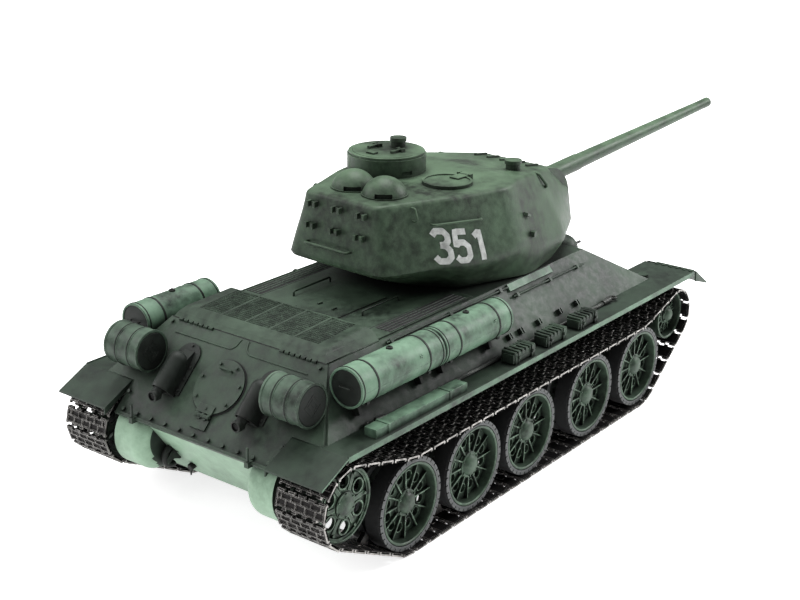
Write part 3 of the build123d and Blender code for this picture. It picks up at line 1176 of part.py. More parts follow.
def build():
    for name, side in SIDES.items():
        write(f"track_{name}", track(side))
        for index, x in enumerate(WHEEL_X, start=1):
            wheel, arm = road_wheel(x), swing_arm(x)
            write(f"road_wheel_{name}_{index}", wheel if side > 0 else mirrored(wheel))
            write(f"swing_arm_{name}_{index}", arm if side > 0 else mirrored(arm))
        sprocket, idler = drive_sprocket(), idler_wheel()
        write(f"drive_sprocket_{name}", sprocket if side > 0 else mirrored(sprocket))
        write(f"idler_wheel_{name}", idler if side > 0 else mirrored(idler))
        write(f"front_mudflap_{name}", mudflap(side))
        write(f"motor_pinion_{name}", motor_pinion(side))
    lower, upper, stern = lower_hull(), upper_hull(), rear_plate()
    write("lower_hull", lower + door_rails())
    write("battery_door", battery_door())
    write("upper_hull", upper + gun_blister() + driver_hatch_hinge())
    write("fenders", fenders())
    write("rear_plate", stern)
    write("rear_access_cover", rear_access_cover())
    write("exhausts", exhausts())
    write("smoke_canisters", smoke_canisters())
    write("fuel_drums", fuel_drums())
    write("engine_deck", engine_deck())
    write("transmission_cover", transmission_cover())
    write("hull_fittings", hull_fittings(lower + upper + stern + fenders()))
    write("stowage", stowage())
    write("tow_cables", tow_cables())
    write("driver_hatch", driver_hatch())
    write("hull_machine_gun", hull_machine_gun())
    write("battery_pack", battery_pack())
    write("drive_gearboxes", drive_gearboxes())
    write("turret_motor", turret_motor())
    write("turret_pinion", turret_pinion())
    write("control_electronics", control_electronics())
    write("power_switch", power_switch())
    shell = turret_shell()
    write("turret_shell", shell, turret=True)
    write("turret_ring", turret_ring(), turret=True)
    write("gun_mantlet", gun_mantlet(), turret=True)
    write("gun_barrel", gun_barrel(), turret=True)
    write("cupola", cupola() + cupola_lid(), turret=True)
    write("cupola_hatch", cupola_hatch(), turret=True)
    write("loader_hatch", loader_hatch(), turret=True)
    write("turret_fittings", turret_fittings(shell[0]), turret=True)


build()
print(f"origin shifted by {FRAME_SHIFT:.2f} mm along X; muzzle at {muzzle_x():.2f} mm")
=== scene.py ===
import bmesh
import bpy
import json
from math import acos, atan2, cos, hypot, pi, radians, sin, tan
from mathutils import Matrix, Vector
from mathutils.bvhtree import BVHTree

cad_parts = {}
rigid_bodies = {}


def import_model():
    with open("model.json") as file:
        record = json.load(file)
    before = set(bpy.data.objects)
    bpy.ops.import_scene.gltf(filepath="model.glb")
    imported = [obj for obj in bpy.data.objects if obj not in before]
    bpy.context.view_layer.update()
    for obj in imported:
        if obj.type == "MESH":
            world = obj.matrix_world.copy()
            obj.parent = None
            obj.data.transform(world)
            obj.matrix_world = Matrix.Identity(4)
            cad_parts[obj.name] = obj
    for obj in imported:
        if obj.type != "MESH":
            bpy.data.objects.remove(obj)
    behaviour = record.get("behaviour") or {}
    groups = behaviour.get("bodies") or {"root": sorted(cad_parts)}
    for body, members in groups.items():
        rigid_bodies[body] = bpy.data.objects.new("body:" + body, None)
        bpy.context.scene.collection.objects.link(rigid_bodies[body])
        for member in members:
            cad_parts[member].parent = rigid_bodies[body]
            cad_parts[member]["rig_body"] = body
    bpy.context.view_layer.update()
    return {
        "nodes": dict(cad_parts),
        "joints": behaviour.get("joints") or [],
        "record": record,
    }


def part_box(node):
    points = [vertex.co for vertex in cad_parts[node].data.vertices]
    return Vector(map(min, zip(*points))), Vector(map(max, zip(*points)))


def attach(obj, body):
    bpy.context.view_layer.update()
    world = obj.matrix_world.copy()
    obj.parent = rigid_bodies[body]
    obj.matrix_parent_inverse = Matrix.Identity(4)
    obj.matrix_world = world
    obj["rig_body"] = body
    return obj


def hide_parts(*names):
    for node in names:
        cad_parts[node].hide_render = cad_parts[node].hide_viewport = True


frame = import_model()

# ---------------------------------------------------------------- places, in the CAD's millimetres


def middle(node):
    low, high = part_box(node)
    return (low + high) / 2


def joint(name):
    return next(item for item in frame["joints"] if item["name"] == name)


MM = 0.001
MID_X = (middle("road_wheel_left_1").x + middle("road_wheel_left_5").x) / 2
RING = Vector(joint("turret_traverse")["pos_m"])
GUN_AXIS = Vector(joint("gun_elevation")["axis"])
TURRET_YAW = atan2(GUN_AXIS.x, -GUN_AXIS.y)

SCALE = Matrix.Scale(MM, 4)
HULL = Matrix.Translation((MID_X, 0, 0)) @ SCALE
TURRET = Matrix.Translation((RING.x, RING.y, 0)) @ Matrix.Rotation(TURRET_YAW, 4, "Z") @ SCALE


def local_frame(origin, x_dir, z_dir):
    """Frame in the hull with the given directions for its x and z."""
    z = Vector(z_dir).normalized()
    x = Vector(x_dir).normalized()
    y = z.cross(x)
    turn = Matrix((x, y, z)).transposed().to_4x4()
    return HULL @ Matrix.Translation(origin) @ turn


FENDER_Z = 76.1
ROOF_Z = 104.0
DECK_Z = 104.9
STERN_TOP_X = -145.3
REAR = local_frame((STERN_TOP_X, 0, DECK_Z), (0, -1, 0), (-1, 0, 1))   # x right, y up the slope, z out
SIDES = {"left": 1, "right": -1}


# ---------------------------------------------------------------- mesh building


TURN = 2 * pi


def axes_about(axis):
    """Unit vectors x, y and z, with z along the axis."""
    z = Vector(axis).normalized()
    x = z.orthogonal().normalized()
    return x, z.cross(x), z


def around(count, radius, start=0.0):
    """Points (a, b) evenly spaced on a circle."""
    angles = [start + TURN * k / count for k in range(count)]
    return [(radius * cos(angle), radius * sin(angle)) for angle in angles]


def soften(bm, angle, offset, **shape):
    """Bevel the edges that turn by more than an angle in degrees."""
    sharp = [e for e in bm.edges if len(e.link_faces) == 2 and e.calc_face_angle(0) > radians(angle)]
    bmesh.ops.bevel(bm, geom=sharp, offset=offset, affect="EDGES", clamp_overlap=True, **shape)


def outward(bm):
    bmesh.ops.recalc_face_normals(bm, faces=bm.faces)


def into_mesh(bm, name):
    """Mesh made from a bmesh, which is freed."""
    mesh = bpy.data.meshes.new(name)
    bm.to_mesh(mesh)
    bm.free()
    return mesh


def add_object(name, data):
    """New object in the scene."""
    item = bpy.data.objects.new(name, data)
    bpy.context.scene.collection.objects.link(item)
    return item


ROUNDED = {"segments": 2, "profile": 0.6}


class Solid:
    """Closed shapes collected in one local frame, in millimetres, and finished as one piece."""

    def __init__(self, local=HULL):
        self.bm = bmesh.new()
        self.local = local

    def box(self, x0, x1, y0, y1, z0, z1):
        centre = ((x0 + x1) / 2, (y0 + y1) / 2, (z0 + z1) / 2)
        self.block((x1 - x0, y1 - y0, z1 - z0), Matrix.Translation(centre))

    def block(self, size, place):
        """Box of the given size centred on a placed frame."""
        made = bmesh.ops.create_cube(self.bm, size=1.0)["verts"]
        bmesh.ops.transform(self.bm, matrix=place @ Matrix.Diagonal((*size, 1)), verts=made)

    def ring(self, centre, x, y, radius, sides):
        return [self.bm.verts.new(centre + (x * cos(TURN * k / sides) + y * sin(TURN * k / sides)) * radius)
                for k in range(sides)]

    def stitch(self, first, second, flip=False):
        """Faces between two loops of points."""
        count = len(first)
        for k in range(count):
            n = (k + 1) % count
            corners = (first[n], first[k], second[k], second[n]) if flip else \
                (first[k], first[n], second[n], second[k])
            self.bm.faces.new(corners)

    def lathe(self, profile, origin, axis, sides=48):
        """Closed outline of (radius, distance) points turned about an axis."""
        x, y, z = axes_about(axis)
        rings = [self.ring(Vector(origin) + z * d, x, y, r, sides) for r, d in profile]
        for low, high in zip(rings, rings[1:] + rings[:1]):
            self.stitch(low, high)

    def disc_lathe(self, profile, origin, axis, sides=48):
        """Open outline that starts and ends on the axis, turned into a closed solid."""
        x, y, z = axes_about(axis)
        ends = [self.bm.verts.new(Vector(origin) + z * profile[k][1]) for k in (0, -1)]
        rings = [self.ring(Vector(origin) + z * d, x, y, r, sides) for r, d in profile[1:-1]]
        for k in range(sides):
            n = (k + 1) % sides
            self.bm.faces.new((ends[0], rings[0][n], rings[0][k]))
            self.bm.faces.new((ends[1], rings[-1][k], rings[-1][n]))
        for low, high in zip(rings, rings[1:]):
            self.stitch(low, high)

    def rod(self, radius, start, end, sides=24, chamfer=0.0, end_radius=None):
        start, end = Vector(start), Vector(end)
        length = (end - start).length
        tip = radius if end_radius is None else end_radius
        c = min(chamfer, radius * 0.5, length * 0.4)
        if c > 0:
            profile = [(0, 0), (radius - c, 0), (radius, c), (tip, length - c), (tip - c, length),
                       (0, length)]
        else:
            profile = [(0, 0), (radius, 0), (tip, length), (0, length)]
        self.disc_lathe(profile, start, end - start, sides)

    def pipe(self, outer, inner, start, end, sides=48, chamfer=0.2):
        length = (Vector(end) - Vector(start)).length
        c = chamfer
        profile = [(inner, 0), (outer - c, 0), (outer, c), (outer, length - c), (outer - c, length),
                   (inner, length)]
        self.lathe(profile, start, Vector(end) - Vector(start), sides)

    def prism(self, outline, along):
        """Polygon of 3D points pushed along a vector."""
        along = Vector(along)
        low = [self.bm.verts.new(Vector(p)) for p in outline]
        high = [self.bm.verts.new(Vector(p) + along) for p in outline]
        self.bm.faces.new(low)
        self.bm.faces.new(list(reversed(high)))
        self.stitch(low, high, flip=True)

    def tube(self, points, radius, sides=10, closed=False):
        """Round bar along a smooth list of points."""
        points = [Vector(p) for p in points]
        count = len(points)
        rings = []
        normal = None
        for k, point in enumerate(points):
            after = points[(k + 1) % count] if closed or k + 1 < count else point
            before = points[k - 1] if closed or k > 0 else point
            tangent = (after - before).normalized()
            if normal is None:
                normal = tangent.orthogonal().normalized()
            normal = (normal - tangent * normal.dot(tangent)).normalized()
            rings.append(self.ring(point, normal, tangent.cross(normal), radius, sides))
        for a, b in zip(rings, rings[1:] + rings[:1] if closed else rings[1:]):
            self.stitch(b, a)
        if not closed:
            self.bm.faces.new(rings[0])
            self.bm.faces.new(list(reversed(rings[-1])))

    def finish(self, name, slot, material, bevel=0.0, stands_for=()):
        """Make the collected shapes one piece of the hull."""
        outward(self.bm)
        if bevel:
            soften(self.bm, 28, bevel, **ROUNDED)
        bmesh.ops.transform(self.bm, matrix=self.local, verts=self.bm.verts)
        return place_mesh(name, into_mesh(self.bm, name), "hull", material, stands_for)


def place_mesh(name, mesh, body, material, stands_for=(), sharp=40):
    """Turn a mesh in the row frame into a shaded piece that rides on a body."""
    mesh.polygons.foreach_set("use_smooth", [True] * len(mesh.polygons))
    mesh.set_sharp_from_angle(angle=radians(sharp))
    piece = add_object(name, mesh)
    for item in material if isinstance(material, list) else [material]:
        mesh.materials.append(item)
    piece.modifiers.new("weighted", "WEIGHTED_NORMAL").keep_sharp = True
    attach(piece, body)
    if stands_for:
        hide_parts(*stands_for)
    return piece


def islands(bm):
    """Connected parts of a mesh, as lists of faces."""
    found, seen = [], set()
    for face in bm.faces:
        if face in seen:
            continue
        group, waiting = [], [face]
        seen.add(face)
        while waiting:
            item = waiting.pop()
            group.append(item)
            for edge in item.edges:
                for other in edge.link_faces:
                    if other not in seen:
                        seen.add(other)
                        waiting.append(other)
        found.append(group)
    return found


def extent(faces):
    points = [v.co for face in faces for v in face.verts]
    return Vector([max(p[k] for p in points) - min(p[k] for p in points) for k in range(3)])


def refined(node, material, bevel, accent=None, accent_here=None, keep=None):
    """Copy of a CAD node with merged flats and rounded edges; accent_here picks faces for a second paint."""
    source = frame["nodes"][node]
    bm = bmesh.new()
    bm.from_mesh(source.data)
    bmesh.ops.remove_doubles(bm, verts=bm.verts, dist=2e-6)
    bmesh.ops.dissolve_limit(bm, angle_limit=radians(0.6), verts=bm.verts, edges=bm.edges, delimit=set())
    for group in islands(bm):
        size = extent(group)
        if keep and not keep(size):
            bmesh.ops.delete(bm, geom=group, context="FACES")
            continue
        for face in group:
            if accent and accent_here(face.calc_center_median(), face.normal, size):
                face.material_index = 1
    bmesh.ops.transform(bm, matrix=Matrix.Scale(1 / MM, 4), verts=bm.verts)
    soften(bm, 25, bevel, **ROUNDED)
    bmesh.ops.transform(bm, matrix=Matrix.Scale(MM, 4), verts=bm.verts)
    name = node + "_shape"
    paints = [material, accent] if accent else material
    place_mesh(name, into_mesh(bm, name), source["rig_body"], paints, (node,), sharp=30)


def rounded_path(points, radius):
    """Points of a polyline with its corners rounded."""
    points = [Vector(p) for p in points]
    path = [points[0]]
    for before, corner, after in zip(points, points[1:], points[2:]):
        a, b = before - corner, after - corner
        reach = min(radius, a.length * 0.45, b.length * 0.45)
        start, end = corner + a.normalized() * reach, corner + b.normalized() * reach
        for step in range(6):
            t = step / 5
            path.append(start * (1 - t) ** 2 + corner * 2 * t * (1 - t) + end * t * t)
    path.append(points[-1])
    return path


# ---------------------------------------------------------------- materials


def add_node(tree, kind, **values):
    item = tree.nodes.new(kind)
    for key, value in values.items():
        if key in item.inputs:
            item.inputs[key].default_value = value
        else:
            setattr(item, key, value)
    return item


def ramp(tree, source, stops):
    item = tree.nodes.new("ShaderNodeValToRGB")
    elements = item.color_ramp.elements
    elements[0].position, elements[0].color = stops[0][0], (stops[0][1],) * 3 + (1,)
    elements[1].position, elements[1].color = stops[-1][0], (stops[-1][1],) * 3 + (1,)
    for position, value in stops[1:-1]:
        elements.new(position).color = (value,) * 3 + (1,)
    tree.links.new(source, item.inputs["Fac"])
    return item.outputs["Color"]


def mix(tree, factor, first, second, blend="MIX"):
    item = tree.nodes.new("ShaderNodeMix")
    item.data_type = "RGBA"
    item.blend_type = blend
    for socket, value in ((item.inputs[0], factor), (item.inputs[6], first), (item.inputs[7], second)):
        if isinstance(value, bpy.types.NodeSocket):
            tree.links.new(value, socket)
        elif isinstance(value, (int, float)):
            socket.default_value = value
        else:
            socket.default_value = (*value, 1)
    return item.outputs[2]


def combine(tree, operation, first, second):
    item = tree.nodes.new("ShaderNodeMath")
    item.operation = operation
    item.use_clamp = True
    for socket, value in zip(item.inputs, (first, second)):
        if isinstance(value, bpy.types.NodeSocket):
            tree.links.new(value, socket)
        else:
            socket.default_value = value
    return item.outputs[0]


def times(tree, first, second):
    return combine(tree, "MULTIPLY", first, second)


def plus(tree, first, second):
    return combine(tree, "ADD", first, second)


def patches(tree, coords, scale, detail, roughness, low, high):
    """Noise stretched so that it is black below one value and white above another."""
    return ramp(tree, noise_of(tree, coords, scale, detail, roughness), [(low, 0.0), (high, 1.0)])


def crevices(tree, reach, full, none):
    """White in corners and recesses, black in the open; it is the mask for painted shade."""
    hollow = add_node(tree, "ShaderNodeAmbientOcclusion", Distance=reach)
    hollow.samples = 8
    return ramp(tree, hollow.outputs["AO"], [(full, 1.0), (none, 0.0)])


def normal_part(tree, axis):
    """One component of the surface's direction."""
    geometry = tree.nodes.new("ShaderNodeNewGeometry")
    split = tree.nodes.new("ShaderNodeSeparateXYZ")
    tree.links.new(geometry.outputs["Normal"], split.inputs[0])
    return split.outputs[axis]


def noise_of(tree, coords, scale, detail=4.0, roughness=0.55):
    item = add_node(tree, "ShaderNodeTexNoise", Scale=scale, Detail=detail, Roughness=roughness)
    tree.links.new(coords, item.inputs["Vector"])
    return item.outputs["Fac"]


def edges_of(tree, radius):
    """White along outer and inner edges, black on open faces."""
    bevel = add_node(tree, "ShaderNodeBevel", Radius=radius)
    bevel.samples = 6
    geometry = tree.nodes.new("ShaderNodeNewGeometry")
    dot = tree.nodes.new("ShaderNodeVectorMath")
    dot.operation = "DOT_PRODUCT"
    tree.links.new(bevel.outputs[0], dot.inputs[0])
    tree.links.new(geometry.outputs["Normal"], dot.inputs[1])
    return ramp(tree, dot.outputs["Value"], [(0.80, 1.0), (0.985, 0.0)])


def new_material(name, metallic, specular=0.5):
    material = bpy.data.materials.new(name)
    material.use_nodes = True
    tree = material.node_tree
    shader = tree.nodes["Principled BSDF"]
    shader.inputs["Metallic"].default_value = metallic
    shader.inputs["Specular IOR Level"].default_value = specular
    coords = tree.nodes.new("ShaderNodeTexCoord").outputs["Object"]
    return material, tree, shader, coords


def set_bump(tree, shader, height, distance, strength=1.0):
    bump = add_node(tree, "ShaderNodeBump", Distance=distance, Strength=strength)
    tree.links.new(height, bump.inputs["Height"])
    tree.links.new(bump.outputs["Normal"], shader.inputs["Normal"])


def painted(name, base, dark, light, gloss=0.45, grain=0.00005, cast=0.0, shade=0.85, top_sheen=0.35, reach=0.010,
            edge_wear=0.35, patch=26.0):
    """Sprayed paint: cloudy tone, painted shade darkening its recesses, worn edges, a painted highlight lightening
    its upward faces like a sheen, fine grain.
    """
    material, tree, shader, coords = new_material(name, 0.0, 0.28)
    clouds = patches(tree, coords, patch, 5.0, 0.6, 0.36, 0.66)
    mottle = patches(tree, coords, 210.0, 4.0, 0.65, 0.38, 0.72)
    colour = mix(tree, clouds, dark, base)
    colour = mix(tree, times(tree, mottle, 0.35), colour, light)
    # painted highlight: upward faces are lightened towards the light colour, like a sheen of overhead light
    upward = times(tree, ramp(tree, normal_part(tree, "Z"), [(0.25, 0.0), (0.95, 1.0)]), top_sheen)
    colour = mix(tree, times(tree, upward, clouds), colour, light)
    edge = edges_of(tree, 0.0007)
    worn = times(tree, edge, patches(tree, coords, 320.0, 3.0, 0.55, 0.45, 0.62))
    bare = [min(1.0, c * 1.9 + 0.03) for c in light]
    colour = mix(tree, times(tree, worn, edge_wear), colour, bare)
    # painted shade: corners and recesses found by ambient occlusion are darkened nearly to black; the same mask also
    # raises roughness
    paint_recess_shade = crevices(tree, reach, 0.25, 0.85)
    colour = mix(tree, times(tree, paint_recess_shade, shade), colour, [c * 0.12 for c in dark])
    tree.links.new(colour, shader.inputs["Base Color"])
    rough = plus(tree, times(tree, mottle, 0.16), gloss)
    rough = plus(tree, rough, times(tree, paint_recess_shade, 0.25))
    tree.links.new(rough, shader.inputs["Roughness"])
    fine = noise_of(tree, coords, 2600.0, 2.0, 0.6)
    height = times(tree, fine, 0.25)
    if cast:
        lumps = noise_of(tree, coords, 420.0, 6.0, 0.7)
        height = plus(tree, height, times(tree, lumps, cast))
    set_bump(tree, shader, height, grain * 4)
    return material


def sideways(tree):
    """White on faces that look along the axles, black on the rest."""
    size = tree.nodes.new("ShaderNodeMath")
    size.operation = "ABSOLUTE"
    tree.links.new(normal_part(tree, "Y"), size.inputs[0])
    return ramp(tree, size.outputs[0], [(0.6, 0.0), (0.9, 1.0)])


def worn_metal(name, base, bright, gloss=0.4, wear_and_glint=0.9, metallic=0.85, reach=0.004, ends=0.0):
    """Blackened metal lightened on its edges and link ends, partly worn bright and partly painted glints, with
    painted shade darkening its recesses.
    """
    material, tree, shader, coords = new_material(name, metallic, 0.5)
    spots = patches(tree, coords, 500.0, 5.0, 0.7, 0.4, 0.68)
    colour = mix(tree, times(tree, spots, 0.5), base, [c * 1.8 for c in base])
    # edges and link ends are lightened towards the bright colour: partly worn bright metal, partly painted glints
    rub_and_glint_spots = ramp(tree, noise_of(tree, coords, 240.0, 4.0), [(0.34, 0.25), (0.56, 1.0)])
    rub_and_glint = times(tree, edges_of(tree, 0.0005), rub_and_glint_spots)
    colour = mix(tree, times(tree, rub_and_glint, wear_and_glint), colour, bright)
    if ends:
        end_wear_and_glint = times(tree, times(tree, sideways(tree), rub_and_glint_spots), ends)
        colour = mix(tree, end_wear_and_glint, colour, bright)
    # painted shade: recesses found by ambient occlusion are darkened nearly to black
    metal_recess_shade = crevices(tree, reach, 0.15, 0.7)
    colour = mix(tree, times(tree, metal_recess_shade, 0.85), colour, (0.004, 0.004, 0.004))
    tree.links.new(colour, shader.inputs["Base Color"])
    rough = plus(tree, times(tree, spots, 0.25), gloss)
    tree.links.new(rough, shader.inputs["Roughness"])
    set_bump(tree, shader, noise_of(tree, coords, 1500.0, 4.0, 0.7), 0.0002, 0.6)
    return material


def rubber_material():
    """Black rubber, dusty grey on its side walls, with painted shade darkening its notches."""
    material, tree, shader, coords = new_material("tyre_rubber", 0.0, 0.3)
    speck = patches(tree, coords, 700.0, 5.0, 0.7, 0.35, 0.72)
    tread = mix(tree, times(tree, speck, 0.5), (0.010, 0.010, 0.011), (0.035, 0.037, 0.035))
    wall = mix(tree, speck, (0.060, 0.064, 0.064), (0.145, 0.150, 0.150))
    colour = mix(tree, sideways(tree), tread, wall)
    # painted shade: the notches, found by ambient occlusion, are darkened nearly to black
    notch_shade = crevices(tree, 0.0025, 0.45, 0.8)
    tree.links.new(mix(tree, notch_shade, colour, (0.006, 0.006, 0.006)), shader.inputs["Base Color"])
    tree.links.new(plus(tree, times(tree, speck, 0.2), 0.6), shader.inputs["Roughness"])
    set_bump(tree, shader, noise_of(tree, coords, 1800.0, 3.0), 0.0001, 0.8)
    return material


def simple_material(name, base, rough, metallic=0.0):
    """Plain part with slight tone and roughness variation."""
    material, tree, shader, coords = new_material(name, metallic)
    spots = patches(tree, coords, 300.0, 5.0, 0.65, 0.35, 0.7)
    tree.links.new(mix(tree, spots, [c * 0.75 for c in base], [min(1.0, c * 1.2) for c in base]),
                   shader.inputs["Base Color"])
    tree.links.new(plus(tree, times(tree, spots, 0.12), rough), shader.inputs["Roughness"])
    set_bump(tree, shader, noise_of(tree, coords, 1800.0, 3.0), 0.00008, 0.7)
    return material


# Each paint below has a painted highlight on its upward faces and painted shade in its recesses; the turret's
# highlight is the strongest.
HULL_PAINT = painted("hull_paint", (0.027, 0.048, 0.030), (0.007, 0.011, 0.008), (0.058, 0.094, 0.062),
                     reach=0.016)
DECK_PAINT = painted("deck_paint", (0.030, 0.049, 0.032), (0.009, 0.014, 0.010), (0.066, 0.104, 0.070))
TURRET_PAINT = painted("turret_paint", (0.036, 0.066, 0.038), (0.008, 0.014, 0.008), (0.090, 0.148, 0.088),
                       gloss=0.42, cast=0.55, grain=0.00006, top_sheen=0.95)
MINT_PAINT = painted("mint_paint", (0.105, 0.190, 0.125), (0.018, 0.030, 0.021), (0.19, 0.31, 0.215),
                     gloss=0.42, reach=0.008, patch=48.0, top_sheen=0.6)
# paler mint for the lower stern faces: partly their real mint paint, partly painted light standing for light bounced
# up from the floor
PALE_PAINT_AND_BOUNCE_LIGHT = painted("pale_paint_and_bounce_light", (0.26, 0.39, 0.28), (0.10, 0.16, 0.11), (0.40, 0.56, 0.42),
                     gloss=0.42, patch=14.0)
CANISTER_PAINT = painted("canister_paint", (0.042, 0.070, 0.048), (0.010, 0.016, 0.011), (0.11, 0.17, 0.12),
                         gloss=0.42, reach=0.008, patch=40.0, top_sheen=0.7)
CAP_PAINT = painted("cap_paint", (0.006, 0.009, 0.007), (0.003, 0.004, 0.003), (0.018, 0.026, 0.019),
                    gloss=0.5)
# strong, wide painted shade darkens the deep wheel dish, leaving the raised rim and hub paler
WHEEL_PAINT = painted("wheel_paint", (0.046, 0.082, 0.052), (0.012, 0.020, 0.013), (0.15, 0.235, 0.16),
                      gloss=0.4, reach=0.016, shade=0.98, edge_wear=0.9, patch=60.0)
# track links: edges and link ends lightened, partly worn bright metal and partly painted glints; painted shade in the
# recesses
TRACK_METAL = worn_metal("track_metal", (0.014, 0.013, 0.013), (0.62, 0.60, 0.57),
                         wear_and_glint=1.0, reach=0.002, ends=0.55)
# darker paint for the fenders: partly their own dark, dirty paint, partly painted shadow from the drums and hull
# above
FENDER_PAINT_AND_SHADOW = painted("fender_paint_and_shadow", (0.016, 0.028, 0.018), (0.005, 0.008, 0.006), (0.040, 0.066, 0.044))
DARK_METAL = worn_metal("dark_metal", (0.02, 0.02, 0.02), (0.16, 0.16, 0.15), wear_and_glint=0.5)
STEEL = worn_metal("cable_steel", (0.035, 0.037, 0.034), (0.16, 0.18, 0.16), wear_and_glint=0.7, metallic=0.6)
RUBBER = rubber_material()
BLACK_PLASTIC = simple_material("black_plastic", (0.02, 0.02, 0.021), 0.5)
BOARD_PLASTIC = simple_material("board_plastic", (0.02, 0.16, 0.07), 0.45)
GEAR_BRASS = simple_material("gear_brass", (0.62, 0.48, 0.22), 0.32, 1.0)
MOTOR_STEEL = simple_material("motor_steel", (0.45, 0.45, 0.46), 0.35, 1.0)
SLOT_BLACK = simple_material("slot_black", (0.004, 0.004, 0.004), 0.8)
NUMBER_WHITE = simple_material("number_white", (0.72, 0.74, 0.72), 0.5)

SLOT_PAINT = {"hull_green": HULL_PAINT, "turret_green": TURRET_PAINT, "stowage_green": MINT_PAINT,
              "wheel_green": WHEEL_PAINT, "track_metal": TRACK_METAL, "dark_metal": DARK_METAL,
              "steel": MOTOR_STEEL, "plastic_black": BLACK_PLASTIC, "brass": GEAR_BRASS, "board_green": BOARD_PLASTIC}
NODE_SLOT = {item["node"]: item["material_slot"] for item in frame["record"]["subparts"]}
NODE_PAINT = {"engine_deck": DECK_PAINT, "exhausts": DARK_METAL}


def paint_cad_nodes():
    """Give every CAD node the material of its slot."""
    for name, item in frame["nodes"].items():
        item.data.materials.clear()
        item.data.materials.append(NODE_PAINT.get(name, SLOT_PAINT[NODE_SLOT[name]]))


paint_cad_nodes()

# ---------------------------------------------------------------- turret body

# outline corners (u, v, rounding) from rear to front at rising heights, as on the CAD shell
WALL_LOW = (106.0, [(-104.6, 41.0, 12.0), (-63.0, 57.0, 40.0), (-10.0, 69.0, 34.0), (52.0, 57.0, 30.0),
                    (95.0, 28.0, 4.0)])
WALL_MID = (136.0, [(-100.0, 33.5, 9.0), (-57.0, 50.5, 40.0), (-10.0, 61.0, 30.0), (44.0, 48.0, 30.0),
                    (88.5, 28.0, 4.0)])
WALL_TOP = (163.0, [(-96.0, 26.5, 6.0), (-52.0, 43.5, 40.0), (-10.0, 52.5, 26.0), (28.0, 38.0, 24.0),
                    (57.0, 26.0, 3.0)])
CUT_LOW = (105.2, [(-56.0, 20.0, 14.0), (-40.0, 42.0, 16.0), (8.0, 57.0, 36.0), (45.0, 48.0, 16.0),
                   (66.0, 22.0, 8.0)])
CUT_TOP = (140.0, [(-141.8, 50.8, 16.0), (-78.0, 64.0, 16.0), (-25.0, 72.0, 36.0), (59.0, 64.0, 16.0),
                   (190.0, 49.0, 8.0)])
TURRET_ROOF_Z = 162.0
ROOF_BREAK_U = 6.0
ROOF_FALL = tan(radians(7.8))
TURRET_CENTRE_U = -10.0
WALL = 3.0
HATCHES = (((-30.0, 23.2), 18.5), ((-30.0, -23.2), 12.2))      # place and opening radius: cupola, loader
TRUNNION_U, TRUNNION_Z, SLOT_HALF = 66.0, 129.0, 27.4


def rounded_outline(level, steps=16):
    """Closed outline of a turret section, mirrored about its centre plane and rounded at the corners."""
    half = level[1]
    corners = half + [(u, -v, r) for u, v, r in reversed(half)]
    count = len(corners)
    outline = []
    for k, (x, y, r) in enumerate(corners):
        before = Vector(corners[k - 1][:2]) - Vector((x, y))
        after = Vector(corners[(k + 1) % count][:2]) - Vector((x, y))
        turn = pi - before.angle(after)
        reach = min(r * tan(turn / 2), 0.48 * before.length, 0.48 * after.length)
        a = Vector((x, y)) + before.normalized() * reach
        b = Vector((x, y)) + after.normalized() * reach
        for step in range(steps):
            t = step / (steps - 1)
            point = a * (1 - t) ** 2 + Vector((x, y)) * 2 * t * (1 - t) + b * t * t
            outline.append((point.x, point.y))
    return outline


def reach_at(outline, angle):
    """Distance from the turret's centre to an outline along an angle."""
    dx, dy = cos(angle), sin(angle)
    best = 0.0
    for (x1, y1), (x2, y2) in zip(outline, outline[1:] + outline[:1]):
        ax, ay, ex, ey = x1 - TURRET_CENTRE_U, y1, x2 - x1, y2 - y1
        det = dx * ey - dy * ex
        if abs(det) < 1e-9:
            continue
        share = (ax * dy - ay * dx) / det
        if -1e-6 <= share <= 1 + 1e-6:
            best = max(best, (ax * ey - ay * ex) / det)
    return best


def soft_min(a, b, width):
    h = max(width - abs(a - b), 0.0) / width
    return min(a, b) - h * h * width / 4


def roof_height(u):
    return TURRET_ROOF_Z - soft_step(u - ROOF_BREAK_U) * ROOF_FALL


def soft_step(distance, blend=5.0):
    """Ramp that starts at zero with a rounded corner."""
    if distance <= -blend:
        return 0.0
    if distance >= blend:
        return distance
    return (distance + blend) ** 2 / (4 * blend)


